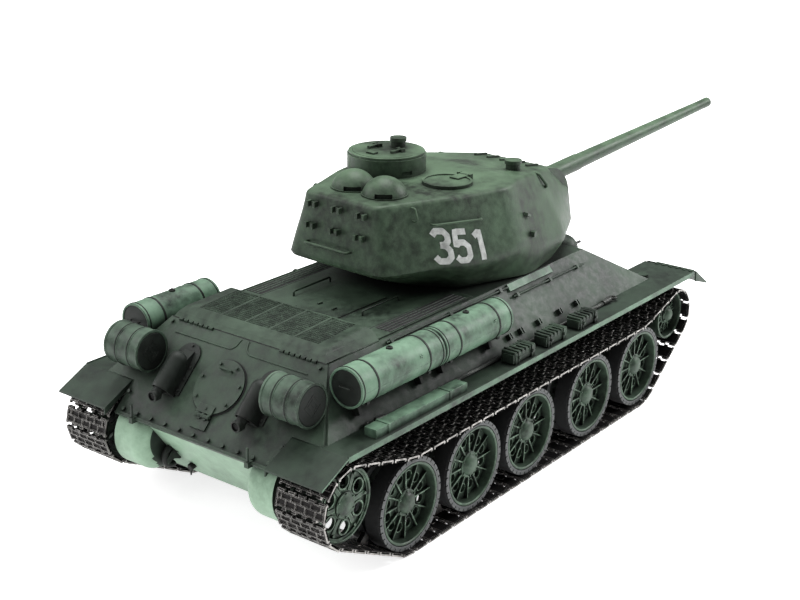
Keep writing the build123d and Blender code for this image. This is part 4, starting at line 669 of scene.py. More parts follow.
def turret_solid(inset=0.0, base=CUT_LOW[0], drop=0.0, shoulder=2.4, columns_around=320, levels=44):
    """Rounded turret body as a closed mesh of rings from its base to the middle of its roof."""
    sections = [rounded_outline(level) for level in (WALL_LOW, WALL_MID, WALL_TOP, CUT_LOW, CUT_TOP)]
    bm = bmesh.new()
    columns = []
    for k in range(columns_around):
        angle = TURN * k / columns_around
        low, mid, top, cut0, cut1 = [reach_at(section, angle) for section in sections]

        def between(first, second, z, low_level, high_level):
            return first + (second - first) * (z - low_level[0]) / (high_level[0] - low_level[0])

        def radius(z):
            lower = between(low, mid, z, WALL_LOW, WALL_MID)
            upper = between(mid, top, z, WALL_MID, WALL_TOP)
            cut = between(cut0, cut1, z, CUT_LOW, CUT_TOP)
            return soft_min(soft_min(lower, upper, 3.0), cut, 4.0) - inset

        z_top = TURRET_ROOF_Z
        for _ in range(8):
            z_top = roof_height(TURRET_CENTRE_U + (radius(z_top) - shoulder) * cos(angle)) - drop
        column = []
        for level in range(levels + 1):
            z = base + (z_top - base) * (1 - (1 - level / levels) ** 1.7)
            r = radius(z)
            below = z_top - z
            if below < shoulder:
                r -= shoulder - (shoulder ** 2 - (shoulder - below) ** 2) ** 0.5
            column.append((r, z))
        for share in (0.985, 0.95, 0.88, 0.75, 0.6, 0.45, 0.3, 0.15):
            r = column[levels][0] * share
            column.append((r, roof_height(TURRET_CENTRE_U + r * cos(angle)) - drop))
        columns.append([bm.verts.new((TURRET_CENTRE_U + r * cos(angle), r * sin(angle), z))
                        for r, z in column])
    for a, b in zip(columns, columns[1:] + columns[:1]):
        for k in range(len(a) - 1):
            bm.faces.new((a[k], b[k], b[k + 1], a[k + 1]))
    bm.faces.new([column[0] for column in reversed(columns)])
    bm.faces.new([column[-1] for column in columns])
    outward(bm)
    return bm


def add_mesh(solid, mesh):
    solid.bm.from_mesh(mesh)
    bpy.data.meshes.remove(mesh)


def carve(target, cutters):
    """One bmesh with another cut out of it, given back as a mesh."""
    scratch = [add_object("scratch", into_mesh(bm, "scratch")) for bm in (target, cutters)]
    modifier = scratch[0].modifiers.new("cut", "BOOLEAN")
    modifier.operation = "DIFFERENCE"
    modifier.object = scratch[1]
    modifier.solver = "EXACT"
    modifier.use_self = True
    bpy.context.view_layer.update()
    made = bpy.data.meshes.new_from_object(scratch[0].evaluated_get(bpy.context.evaluated_depsgraph_get()))
    for item in scratch:
        mesh = item.data
        bpy.data.objects.remove(item)
        bpy.data.meshes.remove(mesh)
    return made


def turret_body():
    """Cast shell with its room, ring, hatch openings and gun embrasure."""
    holes = Solid()
    room = turret_solid(WALL, 106.7, WALL, shoulder=1.0, columns_around=96, levels=12)
    add_mesh(holes, into_mesh(room, "room"))
    holes.rod(41.0, (0, 0, 100), (0, 0, 112), 96)
    for place, radius in HATCHES:
        holes.rod(radius, (*place, 150), (*place, 172), 64)
    bore = [(TRUNNION_U + u, max(108.0, TRUNNION_Z + z)) for u, z in around(96, 24.4)]
    holes.prism([(u, -SLOT_HALF, z) for u, z in bore], (0, 2 * SLOT_HALF, 0))
    holes.box(80.0, 112.0, -SLOT_HALF, SLOT_HALF, 117.0, 154.0)
    outward(holes.bm)
    mesh = carve(turret_solid(), holes.bm)
    mesh.transform(TURRET)
    return place_mesh("turret_casting", mesh, "turret", TURRET_PAINT,
                      ("turret_shell",), sharp=32)


turret_casting = turret_body()

# ---------------------------------------------------------------- tracks

WHEEL_X = (120.0, 60.1, -6.6, -63.2, -120.0)
WHEEL_Z = 27.8
WHEEL_R = 25.9
TRACK_Y = 77.0
TRACK_W = 31.2
TRACK_T = 1.86
SPROCKET = (-170.2, 47.0)
SPROCKET_R = 20.2
IDLER = (164.0, 49.7)
IDLER_R = 16.0
LINK_COUNT = 72


def belt_pieces():
    """Arcs and straights of the pin line, round signed circles (x, z, radius, sense)."""
    half = TRACK_T / 2 + 0.04
    top = WHEEL_Z + WHEEL_R + half
    sag = 55.0
    circles = [(*SPROCKET, SPROCKET_R + half, 1), (WHEEL_X[4] + 8, top + sag, sag, -1),
               (WHEEL_X[0] - 6, top + sag, sag, -1), (*IDLER, IDLER_R + half, 1),
               (WHEEL_X[0], WHEEL_Z, WHEEL_R + half, 1), (WHEEL_X[4], WHEEL_Z, WHEEL_R + half, 1)]
    tangents = []
    for k, (x1, z1, r1, s1) in enumerate(circles):
        x2, z2, r2, s2 = circles[(k + 1) % len(circles)]
        angle = atan2(z2 - z1, x2 - x1) - acos((s2 * r2 - s1 * r1) / hypot(x2 - x1, z2 - z1))
        nx, nz = cos(angle), sin(angle)
        tangents.append(((x1 - s1 * r1 * nx, z1 - s1 * r1 * nz), (x2 - s2 * r2 * nx, z2 - s2 * r2 * nz)))
    pieces = []
    for k, (x, z, radius, sense) in enumerate(circles):
        arrive = tangents[k - 1][1]
        leave, following = tangents[k]
        start = atan2(arrive[1] - z, arrive[0] - x)
        turn = (atan2(leave[1] - z, leave[0] - x) - start) * -sense % (TURN)
        pieces.append((True, radius * turn, (x, z, radius, sense, start)))
        pieces.append((False, hypot(following[0] - leave[0], following[1] - leave[1]), (leave, following)))
    return pieces


def belt_place(pieces, distance):
    """Point and heading at a distance along the belt."""
    for round_part, length, data in pieces:
        if distance > length:
            distance -= length
            continue
        if round_part:
            x, z, radius, sense, start = data
            angle = start - sense * distance / radius
            return x + radius * cos(angle), z + radius * sin(angle), angle - sense * pi / 2
        (x1, z1), (x2, z2) = data
        share = distance / length
        return x1 + (x2 - x1) * share, z1 + (z2 - z1) * share, atan2(z2 - z1, x2 - x1)


def track_link(horned):
    """Cast link about its pin line, outer face up: fingers, waffle ribs, end bosses and a guide horn."""
    link = Solid()
    half, out, skin = TRACK_W / 2, TRACK_T / 2, 0.15
    link.box(-3.9, 3.9, -half, half, -out, skin)
    for k in range(5):
        y = -13.0 + k * 6.5
        link.box(3.6, 5.25, y - 1.9, y + 1.9, -out + 0.1, out - 0.1)
    for k in range(4):
        y = -9.75 + k * 6.5
        link.box(-5.25, -3.6, y - 1.3, y + 1.3, -out + 0.1, out - 0.1)
    for y in (-15.1, 15.1):
        link.box(-4.6, 4.6, y - 0.5, y + 0.5, -out, out)
    for x in (-3.5, 0.2, 3.5):
        link.box(x - 0.42, x + 0.42, -half + 0.8, half - 0.8, skin - 0.1, out)
    for k in range(9):
        y = -12.6 + k * 3.15
        link.box(-3.2 if k % 2 else 0.2, 0.2 if k % 2 else 3.2, y - 0.36, y + 0.36, skin - 0.1, out - 0.05)
    for y in (-half + 0.02, half - 0.62):
        for x in (-4.1, 4.1):
            link.rod(0.95, (x, y, 0), (x, y + 0.6, 0), 12)
    if horned:
        link.prism([(-3.4, -1.5, -out + 0.1), (3.4, -1.5, -out + 0.1), (1.3, -1.5, -out - 6.0),
                    (-1.3, -1.5, -out - 6.0)], (0, 3.0, 0))
    else:
        for y in (-4.5, 4.5):
            link.box(-1.2, 1.2, y - 2.0, y + 2.0, -out - 0.4, -out + 0.1)
    outward(link.bm)
    soften(link.bm, 50, 0.09, segments=1)
    return into_mesh(link.bm, "link")


def track(side, links):
    pieces = belt_pieces()
    pitch = sum(length for _, length, _ in pieces) / LINK_COUNT
    band = Solid()
    for k in range(LINK_COUNT):
        x, z, heading = belt_place(pieces, (k + 0.5) * pitch)
        before = len(band.bm.verts)
        band.bm.from_mesh(links[k % 2])
        made = list(band.bm.verts)[before:]
        place = Matrix.Translation((x, SIDES[side] * TRACK_Y, z)) @ Matrix.Rotation(-heading, 4, "Y")
        bmesh.ops.transform(band.bm, matrix=place, verts=made)
    band.finish(f"track_links_{side}", "track_metal", TRACK_METAL, stands_for=(f"track_{side}",))


link_meshes = [track_link(True), track_link(False)]
for side_name in SIDES:
    track(side_name, link_meshes)
for link_mesh in link_meshes:
    bpy.data.meshes.remove(link_mesh)

# ---------------------------------------------------------------- wheels, about their hub, y outward


NOTCHES = 34


HUB, AXLE = (0, 0, 0), (0, 1, 0)


def wheel_ring(solid, profile, sides=96):
    solid.lathe(profile, HUB, AXLE, sides)


def spoke(solid, share, outline, thick):
    """Flat web with an outline of (radius, y), a share of a turn round the wheel."""
    turn = Matrix.Rotation(TURN * share, 4, "Y")
    solid.prism([turn @ Vector((r, y, -thick / 2)) for r, y in outline], turn @ Vector((0, 0, thick)))


def ribs(solid, r0, r1, y_plate, y_hub, y_rim, thick=0.8):
    """Twelve tapering radial ribs on a wheel disc."""
    for k in range(12):
        spoke(solid, k / 12, [(r0, y_plate), (r1, y_plate), (r1, y_rim), (r0, y_hub)], thick)


def dished_plate(r0, r1, y0, y1, thick, holes, hole_r, hole_at, phase, lip=0.5):
    """Conical plate with round holes that have thickened lips, as a mesh."""
    plate = Solid()
    plate.lathe([(r0, y0), (r1, y1), (r1, y1 + thick), (r0, y0 + thick)], HUB, AXLE, 96)
    cuts = Solid()
    for x, z in around(holes, hole_at, phase):
        plate.rod(hole_r + lip, (x, y0 - 0.15, z), (x, y0 + thick + 0.35, z), 24)
        cuts.rod(hole_r, (x, y0 - 6, z), (x, y0 + 6, z), 24)
    outward(plate.bm)
    outward(cuts.bm)
    return carve(plate.bm, cuts.bm)


def hub_cap(solid, y, flange_r, dome_r, rise, bolts):
    """Domed cap on a bolted flange."""
    solid.disc_lathe([(0, y - 1), (flange_r, y - 1), (flange_r, y + 1.0), (flange_r - 0.3, y + 1.3),
                      (dome_r + 0.3, y + 1.3), (dome_r, y + 1.6), (dome_r * 0.94, y + rise * 0.55),
                      (dome_r * 0.78, y + rise * 0.8), (dome_r * 0.5, y + rise * 0.95), (0, y + rise)],
                     HUB, AXLE, 48)
    for x, z in around(bolts, (flange_r + dome_r) / 2 + 0.1, pi / bolts):
        solid.rod(0.55, (x, y + 1.0, z), (x, y + 1.95, z), 6, 0.12)


def road_wheel_casting():
    wheel = Solid()
    wheel_ring(wheel, [(22.7, 2.7), (22.7, 12.7), (22.4, 13.0), (21.7, 13.0), (21.3, 12.6), (20.9, 8.0),
                       (20.6, 5.4), (20.6, 3.8), (21.4, 2.7)])
    wheel_ring(wheel, [(22.7, -2.7), (21.4, -2.7), (20.6, -3.8), (20.6, -5.4), (20.9, -8.0), (21.3, -12.4),
                       (22.7, -12.6)])
    add_mesh(wheel, dished_plate(7.0, 21.0, 6.6, 5.8, 1.1, 12, 2.5, 14.2, pi / 12, 0.4))
    add_mesh(wheel, dished_plate(7.0, 21.0, -5.6, -5.1, 1.1, 12, 2.0, 15.0, pi / 12))
    ribs(wheel, 7.0, 20.9, 6.0, 9.6, 9.2, 0.7)
    ribs(wheel, 7.0, 20.9, -4.6, -10.2, -7.4)
    wheel_ring(wheel, [(2.55, -12.4), (7.2, -12.4), (8.0, -11.6), (8.0, 8.2), (7.4, 8.8), (2.55, 8.8)], 48)
    hub_cap(wheel, 8.8, 7.4, 5.9, 4.1, 6)
    return wheel


def road_wheel_tyres():
    """Two rubber tyres with notches in the outer edge."""
    tyres = Solid()
    for flip in (1, -1):
        wheel_ring(tyres, [(22.5, 2.62 * flip), (25.5, 2.62 * flip), (25.9, 3.0 * flip), (25.9, 11.6 * flip),
                           (25.6, 11.95 * flip), (22.5, 11.95 * flip)], 120)
    wheel_ring(tyres, [(22.9, 11.8), (24.3, 11.8), (24.3, 12.9), (23.0, 12.9)], 120)
    for k in range(NOTCHES):
        turn = Matrix.Rotation(TURN * k / NOTCHES, 4, "Y")
        width = pi / NOTCHES - 0.012
        outline = []
        for radius, shares in ((25.8, (-1, -0.5, 0, 0.5, 1)), (24.2, (1, 0.5, 0, -0.5, -1))):
            outline += [Vector((radius * cos(width * share), 11.8, radius * sin(width * share)))
                        for share in shares]
        tyres.prism([turn @ p for p in outline], (0, 1.15, 0))
    return tyres


def drive_sprocket_shape():
    wheel = Solid()
    for y0, y1 in ((-9.5, -7.4), (7.4, 9.5)):
        wheel_ring(wheel, [(17.6, y0), (20.0, y0), (SPROCKET_R, y0 + 0.2), (SPROCKET_R, y1 - 0.2), (20.0, y1),
                           (17.6, y1)], 120)
    add_mesh(wheel, dished_plate(6.0, 18.2, 8.3, 7.2, 1.0, 6, 3.5, 12.4, pi / 6, 0.75))
    add_mesh(wheel, dished_plate(6.0, 18.2, -9.2, -8.6, 1.0, 6, 3.5, 12.4, pi / 6, 0.75))
    wheel_ring(wheel, [(18.6, 9.3), (19.9, 9.3), (19.9, 10.1), (19.5, 10.3), (18.9, 10.3), (18.6, 10.0)], 120)
    wheel_ring(wheel, [(3.0, -9.5), (7.6, -9.5), (8.2, -8.6), (8.2, 8.6), (7.6, 9.5), (3.0, 9.5)], 48)
    for k, (x, z) in enumerate(around(6, 16.4)):
        wheel.rod(0.9, (x, 8.4, z), (x, 9.9, z), 6, 0.15)
        spoke(wheel, k / 6, [(7.6, 8.6), (16.2, 8.2), (16.2, 8.9), (7.6, 9.8)], 2.2)
    hub_cap(wheel, 9.5, 7.0, 5.5, 3.0, 6)
    return wheel


def sprocket_rollers():
    rollers = Solid()
    for x, z in around(6, 15.6, radians(8.0)):
        rollers.rod(1.7, (x, -8.4, z), (x, 7.6, z), 24)
    rollers.rod(3.0, (0, -37.0, 0), (0, -9.0, 0), 32)
    return rollers


def final_gear():
    """Toothed wheel on the sprocket shaft, inside the hull."""
    gear = Solid()
    outline = []
    for tooth in range(24):
        for r, share in ((8.68, -0.27), (10.24, -0.11), (10.24, 0.11), (8.68, 0.27)):
            angle = TURN * (tooth + share) / 24
            outline.append((r * cos(angle), 50.0 - 77.0 - 4.0, -r * sin(angle)))
    gear.prism(outline, (0, 4.0, 0))
    return gear


def idler_shape():
    wheel = Solid()
    wheel_ring(wheel, [(14.2, 2.7), (15.8, 2.7), (IDLER_R, 2.9), (IDLER_R, 10.2), (15.7, 10.5), (15.0, 10.5),
                       (14.5, 10.0), (14.2, 6.0)])
    wheel_ring(wheel, [(14.2, -2.7), (15.8, -2.7), (IDLER_R, -2.9), (IDLER_R, -10.2), (15.7, -10.5),
                       (14.2, -10.5)])
    add_mesh(wheel, dished_plate(5.4, 14.6, 5.0, 3.8, 1.0, 12, 1.15, 10.8, pi / 12, 0.35))
    add_mesh(wheel, dished_plate(5.4, 14.6, -5.2, -4.8, 1.0, 12, 1.15, 10.8, pi / 12, 0.35))
    ribs(wheel, 5.6, 14.5, 4.4, 7.3, 6.0, 0.7)
    ribs(wheel, 5.6, 14.5, -4.4, -9.1, -6.0, 0.7)
    wheel_ring(wheel, [(2.55, -10.5), (5.8, -10.5), (6.4, -9.9), (6.4, 7.0), (5.8, 7.5), (2.55, 7.5)], 48)
    hub_cap(wheel, 7.5, 5.6, 4.4, 3.8, 6)
    return wheel


def wheel_mesh(solid, bevel=0.12):
    outward(solid.bm)
    if bevel:
        soften(solid.bm, 40, bevel, segments=1)
    return into_mesh(solid.bm, "wheel")


def place_wheel(name, shape, body, side, x, z, slot, material, stands_for=()):
    """Copy of a wheel mesh on one side of the hull."""
    mesh = shape.copy()
    mesh.name = name
    y = SIDES[side]
    mesh.transform(HULL @ Matrix.Translation((x, y * TRACK_Y, z)) @ Matrix.Diagonal((1, y, 1, 1)))
    if y < 0:
        mesh.flip_normals()
    return place_mesh(name, mesh, body, material, stands_for, sharp=35)


def running_gear():
    casting = wheel_mesh(road_wheel_casting())
    tyres = wheel_mesh(road_wheel_tyres(), 0.1)
    sprocket = wheel_mesh(drive_sprocket_shape())
    rollers = wheel_mesh(sprocket_rollers(), 0)
    gear = wheel_mesh(final_gear(), 0)
    idler = wheel_mesh(idler_shape())
    for side in SIDES:
        for k, x in enumerate(WHEEL_X, start=1):
            name = f"road_wheel_{side}_{k}"
            place_wheel(f"{name}_casting", casting, name, side, x, WHEEL_Z, "wheel_green", WHEEL_PAINT,
                        (name,))
            place_wheel(f"{name}_tyres", tyres, name, side, x, WHEEL_Z, "plastic_black", RUBBER)
        name = f"drive_sprocket_{side}"
        place_wheel(f"{name}_discs", sprocket, name, side, *SPROCKET, "wheel_green", WHEEL_PAINT, (name,))
        place_wheel(f"{name}_rollers", rollers, name, side, *SPROCKET, "dark_metal", DARK_METAL)
        place_wheel(f"{name}_gear", gear, name, side, *SPROCKET, "brass", GEAR_BRASS)
        name = f"idler_wheel_{side}"
        place_wheel(f"{name}_casting", idler, name, side, *IDLER, "wheel_green", WHEEL_PAINT, (name,))
    for mesh in (casting, tyres, sprocket, rollers, gear, idler):
        bpy.data.meshes.remove(mesh)


running_gear()

# ---------------------------------------------------------------- other CAD nodes with rounded edges

STERN_X, FENDER_EDGE_Y = -0.150, 0.0922


# lower stern faces that take the paler mint, which is partly painted bounce light
def stern_face(centre, normal, size):
    return centre.x < MID_X + STERN_X and normal.x < -0.25 and centre.z < 0.0615


# painted highlight: the fenders' outer edge faces take the mint paint, as if lit from the side
def lit_fender_edge(centre, normal, size):
    return abs(centre.y) > FENDER_EDGE_Y and abs(normal.y) > 0.3


def small_load(centre, normal, size):
    return size.x < 0.030 or size.z < 0.0035


REFINED = {"lower_hull": (HULL_PAINT, 0.3, PALE_PAINT_AND_BOUNCE_LIGHT, stern_face), "upper_hull": (HULL_PAINT, 0.35),
           "fenders": (FENDER_PAINT_AND_SHADOW, 0.12, MINT_PAINT, lit_fender_edge), "rear_plate": (HULL_PAINT, 0.2),
           "rear_access_cover": (HULL_PAINT, 0.15), "exhausts": (CAP_PAINT, 0.3), "engine_deck": (DECK_PAINT, 0.1),
           "hull_fittings": (HULL_PAINT, 0.1), "stowage": (MINT_PAINT, 0.12, HULL_PAINT, small_load),
           "driver_hatch": (HULL_PAINT, 0.25), "hull_machine_gun": (DARK_METAL, 0.1),
           "gun_mantlet": (TURRET_PAINT, 0.4), "gun_barrel": (TURRET_PAINT, 0.1), "cupola": (TURRET_PAINT, 0.25),
           "cupola_hatch": (TURRET_PAINT, 0.15), "loader_hatch": (TURRET_PAINT, 0.15),
           "turret_fittings": (TURRET_PAINT, 0.12), "front_mudflap_left": (HULL_PAINT, 0.15),
           "front_mudflap_right": (HULL_PAINT, 0.15)}
for node_name, choice in REFINED.items():
    refined(node_name, *choice)


def wide_part(size):
    return size.y > 0.030


refined("transmission_cover", DECK_PAINT, 0.2, keep=wide_part)

# ---------------------------------------------------------------- stern and deck details


WIRE_R = 0.2


def mesh_panels():
    """Woven wire over the five openings of the stern cover, above a black tray of painted shade for the dark space
    under the wire.
    """
    wires, tray = Solid(), Solid()
    x0, x1, half, step = -137.4, -107.6, 8.1, 17.2
    for panel in range(-2, 3):
        y_mid = panel * step

        def surface(x, y):
            share = (x - x0) / (x1 - x0)
            return DECK_Z + 4.9 + 1.7 * share + 0.5 * (1 - ((y - y_mid) / half) ** 2)

        # painted shade: a black sheet under the wire stands for the shaded space below it
        tray.prism([(x0, y_mid - half, DECK_Z + 3.2), (x1, y_mid - half, DECK_Z + 4.6),
                    (x1, y_mid + half, DECK_Z + 4.6), (x0, y_mid + half, DECK_Z + 3.2)], (0, 0, 0.4))
        for k in range(1, 30):
            x = x0 + k * (x1 - x0) / 30
            weave = 0.12 if k % 2 else -0.12
            across = [y_mid + half * s / 4 for s in range(-4, 5)]
            wires.tube([(x, y, surface(x, y) + weave) for y in across], WIRE_R, 5)
        for k in range(1, 17):
            y = y_mid - half + k * 2 * half / 17
            along = [x0 + (x1 - x0) * s / 4 for s in range(5)]
            wires.tube([(x, y, surface(x, y)) for x in along], WIRE_R, 5)
    wires.finish("stern_wire_mesh", "hull_green", DECK_PAINT)
    tray.finish("stern_mesh_tray", "hull_green", SLOT_BLACK)


def louvres():
    """Black slots of painted shade, standing for the shaded louvre openings, and the louvres' raised lips, on both
    sides of the engine deck.
    """
    slots, lips = Solid(), Solid()
    for side in (1, -1):
        for row in range(4):
            y = side * (42.4 + row * 2.6)
            for bay in range(6):
                x = -90.0 + bay * 11.6
                if hypot(x + 5.3 - 32.0, y) < 57.0:
                    continue
                # painted shade: black strips level with the deck fill the louvre openings
                slots.box(x - 0.2, x + 10.9, y - 1.0, y + 1.0, ROOF_Z - 0.4, DECK_Z + 0.05)
                lip = Matrix.Translation((x + 5.3, y + side * 1.3, DECK_Z + 0.2))
                lips.block((11.2, 0.7, 0.35), lip @ Matrix.Rotation(side * 0.5, 4, "X"))
    slots.finish("louvre_slots", "hull_green", SLOT_BLACK)
    lips.finish("louvre_lips", "hull_green", DECK_PAINT, bevel=0.08)


def seams():
    """Dark joint lines round the access cover, the deck panels and between the drums."""
    lines = Solid(REAR)
    hoop(lines, 15.4, 16.1, 0.16, (0, -29.4, 0.14), (0, 0, 1))
    lines.box(-54.6, 54.6, -0.35, 0.05, -0.3, 0.14)
    lines.finish("stern_seams", "hull_green", SLOT_BLACK)
    deck = Solid()
    lines_along_y = ((-101.9, -101.3, 53.0), (-98.4, -98.0, 17.9), (-50.0, -49.6, 17.9))      # x, x, half y
    lines_along_x = ((-98.4, -49.6, 17.5), (-96.0, -50.0, 40.0))                              # x, x, inner y
    strips = [(x0, x1, -half, half) for x0, x1, half in lines_along_y]
    for x0, x1, inner in lines_along_x:
        strips += [(x0, x1, -inner - 0.4, -inner), (x0, x1, inner, inner + 0.4)]
    for strip in strips:
        deck.box(*strip, DECK_Z - 0.3, DECK_Z + 0.08)
    deck.finish("deck_seams", "hull_green", SLOT_BLACK)


def exhaust_mouths():
    """Tail pipes that turn straight back out of the shrouds, each filled by a black plug a little inside its mouth.
    """
    back = Vector((0, -1, 1)).normalized()
    for name, side in (("right", 1), ("left", -1)):
        foot = Vector((side * 29.8, -45.0, 6.6))
        lip = Solid(REAR)
        lip.pipe(3.1, 2.3, foot, foot + back * 4.6, 48, 0.3)
        lip.finish(f"exhaust_lip_{name}", "dark_metal", CAP_PAINT)
        # a black plug fills each pipe from a little inside its mouth
        pipe_plug = Solid(REAR)
        pipe_plug.rod(2.25, foot + back * 0.2, foot + back * 3.4, 32)
        pipe_plug.finish(f"exhaust_plug_{name}", "dark_metal", SLOT_BLACK)


def can_profile(rim, length, bands, low, crest, flat):
    """Outline of a can: its rim, its rolled bands and the rim again at the far end."""
    profile = list(rim)
    for at in bands:
        profile += [(low, at - 1.2), (crest, at - flat), (crest, at + flat), (low, at + 1.2)]
    return profile + [(r, length - at) for r, at in reversed(rim)]


def hoop(solid, inner, outer, half, centre, axis):
    """Strap round a can."""
    solid.lathe([(inner, -half), (outer, -half), (outer, half), (inner, half)], centre, axis, 96)


def drums():
    """Fuel drums with rolled rims, dark straps and recessed end caps with a handle."""
    y, z, r = 73.5, 99.4, 10.7
    body, dark = Solid(), Solid()
    for side, x0, x1 in ((-1, -153.0, -84.1), (-1, -82.9, -20.5), (1, -156.0, -99.5)):
        length = x1 - x0
        rim = [(0, 1.0), (r - 1.3, 1.0), (r - 1.1, 0.2), (r - 0.6, 0.0), (r + 0.1, 0.3), (r + 0.1, 1.2),
               (r, 1.7)]
        profile = can_profile(rim, length, (length * 0.33, length * 0.67), r, r + 0.12, 0.5)
        body.disc_lathe(profile, (x0, side * y, z), (1, 0, 0), 96)
        for from_end, half in ((13.0, 0.55), (1.9, 0.25)):
            for x in (x0 + from_end, x1 - from_end):
                hoop(dark, r - 0.3, r + 0.3, half, (x, side * y, z), (1, 0, 0))
        for x, out in ((x0 + 0.8, -1), (x1 - 0.8, 1)):
            dark.disc_lathe([(0, 0), (r - 1.35, 0), (r - 1.35, 0.25), (r - 2.4, 0.45), (0, 0.45)],
                            (x, side * y, z), (out, 0, 0), 64)
            path = rounded_path([(x, side * y - 3.4, z + 0.6), (x + out * 2.0, side * y - 3.4, z + 0.6),
                                 (x + out * 2.0, side * y + 3.4, z + 0.6), (x, side * y + 3.4, z + 0.6)], 0.9)
            dark.tube(path, 0.4, 8)
        for x in (x0 + 9.0, x1 - 9.0):
            dark.prism([(x - 1.2, side * yy, zz) for yy, zz in ((66.0, 91.9), (73.0, 90.3), (76.2, 83.0),
                                                                (72.9, 81.6))], (2.4, 0, 0))
            for k in range(2):
                dark.box(x - 1.0, x + 1.0, side * (y + 3.2 + k * 3) - 0.9, side * (y + 3.2 + k * 3) + 0.9,
                         z - r - 0.2 + k * 1.2, z - r + 1.6 + k * 1.2)
        middle_x = (x0 + x1) / 2
        dark.rod(1.8, (middle_x, side * y, z + r - 0.8), (middle_x, side * y, z + r + 0.9), 20, 0.3)
        dark.rod(0.7, (middle_x, side * y, z + r), (middle_x, side * y, z + r + 1.5), 6, 0.1)
        for k in range(3):
            turn = Matrix.Translation((middle_x + 14, side * (y + r * 0.93), z + r * 0.36))
            body.block((2.4, 0.8, 0.5), turn @ Matrix.Rotation(k * pi / 3, 4, "Y"))
        seam_y = side * (y + r - 0.1)
        body.box(x0 + 1.5, x1 - 1.5, seam_y - 0.18, seam_y + 0.18, z - 1.1, z - 0.7)
    body.finish("drum_bodies", "stowage_green", MINT_PAINT, stands_for=("fuel_drums",))
    dark.finish("drum_straps", "hull_green", CAP_PAINT, bevel=0.12)


def canisters():
    """Stern canisters with banded bodies and dark end caps embossed with nested rectangles."""
    x, z, r = -172.0, 95.0, 11.3
    y0, y1 = 43.4, 68.6
    body, dark = Solid(), Solid()
    bands = (7.6, 16.6)
    for side in (1, -1):
        rim = [(0, 0.9), (r - 1.2, 0.9), (r - 0.9, 0.1), (r - 0.4, 0.0), (r + 0.35, 0.25), (r + 0.35, 1.3),
               (r - 0.1, 1.7)]
        profile = can_profile(rim, y1 - y0, bands, r - 0.1, r + 0.2, 0.9)
        body.disc_lathe(profile, (x, side * y0, z), (0, side, 0), 96)
        for at in bands:
            hoop(dark, r - 0.3, r + 0.42, 0.3, (x, side * (y0 + at), z), (0, 1, 0))
        for y, out in ((y0 + 0.6, -1), (y1 - 0.6, 1)):
            face = side * y
            direction = side * out
            dark.disc_lathe([(0, 0), (r - 1.3, 0), (r - 1.3, 0.35), (r - 1.7, 0.5), (0, 0.5)], (x, face, z),
                            (0, direction, 0), 64)
            turn = Matrix.Translation((x, face + direction * 0.45, z)) @ Matrix.Rotation(radians(-40), 4, "Y")
            for wide, tall in ((8.4, 8.4), (4.4, 5.6)):
                for shift in (-1, 1):
                    dark.block((0.5, 0.5, tall), turn @ Matrix.Translation((shift * wide / 2, 0, 0)))
                    dark.block((wide + 0.5, 0.5, 0.5), turn @ Matrix.Translation((0, 0, shift * tall / 2)))
            dark.block((0.5, 0.5, 3.0), turn)
        for at in bands:
            foot = Matrix.Translation((x, side * (y0 + at), z)) @ Matrix.Rotation(radians(-45), 4, "Y")
            dark.block((6.5, 1.6, 3.6), foot @ Matrix.Translation((0, 0, -10.9)))
    body.finish("canister_bodies", "stowage_green", CANISTER_PAINT,
                stands_for=("smoke_canisters",))
    dark.finish("canister_caps", "hull_green", CAP_PAINT, bevel=0.1)


def cables():
    """Laid steel tow cables with spliced eyes, along the foot of both sloped sides."""
    y, z = 79.7, FENDER_Z + 1.21
    rear, front, lay, strand_r = -134.0, 92.0, 11.0, 0.42
    rope, ends = Solid(), Solid()
    for side in (1, -1):
        for strand in range(6):
            points = []
            for step in range(301):
                x = rear + (front - rear) * step / 300
                angle = TURN * (strand / 6 + x / lay)
                points.append((x, side * y + 0.72 * cos(angle), z + 0.72 * sin(angle)))
            rope.tube(points, strand_r, 6)
        for x, out in ((rear, -1), (front, 1)):
            ends.rod(1.5, (x + 5 * -out, side * y, z + 0.5), (x - 3 * -out, side * y, z + 0.7), 24, 0.3, 1.9)
            loop = [(x + out * (7.2 + 2.0 * cos(a)), side * y + 2.0 * sin(a), z + 0.8)
                    for a in (TURN * k / 32 for k in range(32))]
            ends.tube(loop, 0.75, 10, closed=True)
    rope.finish("tow_rope", NODE_SLOT["tow_cables"], STEEL, stands_for=("tow_cables",))
    ends.finish("tow_rope_eyes", NODE_SLOT["tow_cables"], STEEL)


def spare_links():
    """Bundles of spare track grips strapped to both fenders."""
    load = Solid()
    for side in (1, -1):
        y, z = side * 86.6, FENDER_Z + 4.0
        for x in (-18.0, 15.5, 51.0):
            for dy in (-2.2, 2.2):
                load.rod(2.2, (x - 10.0, y + dy, z + 0.6), (x + 10.0, y + dy, z + 0.6), 20, 0.5)
            for k in range(6):
                load.box(x - 10.2 + k * 3.7, x - 8.6 + k * 3.7, y - 4.5, y + 4.5, z + 0.4, z + 3.4)
            for dx in (-6.8, 6.8):
                load.box(x + dx - 0.5, x + dx + 0.5, y - 5.1, y + 5.1, z - 3.6, z + 3.7)
                load.rod(0.9, (x + dx, y + side * 5.0, z), (x + dx, y + side * 6.0, z), 6, 0.1)
    load.finish("spare_grips", "hull_green", HULL_PAINT, bevel=0.15)


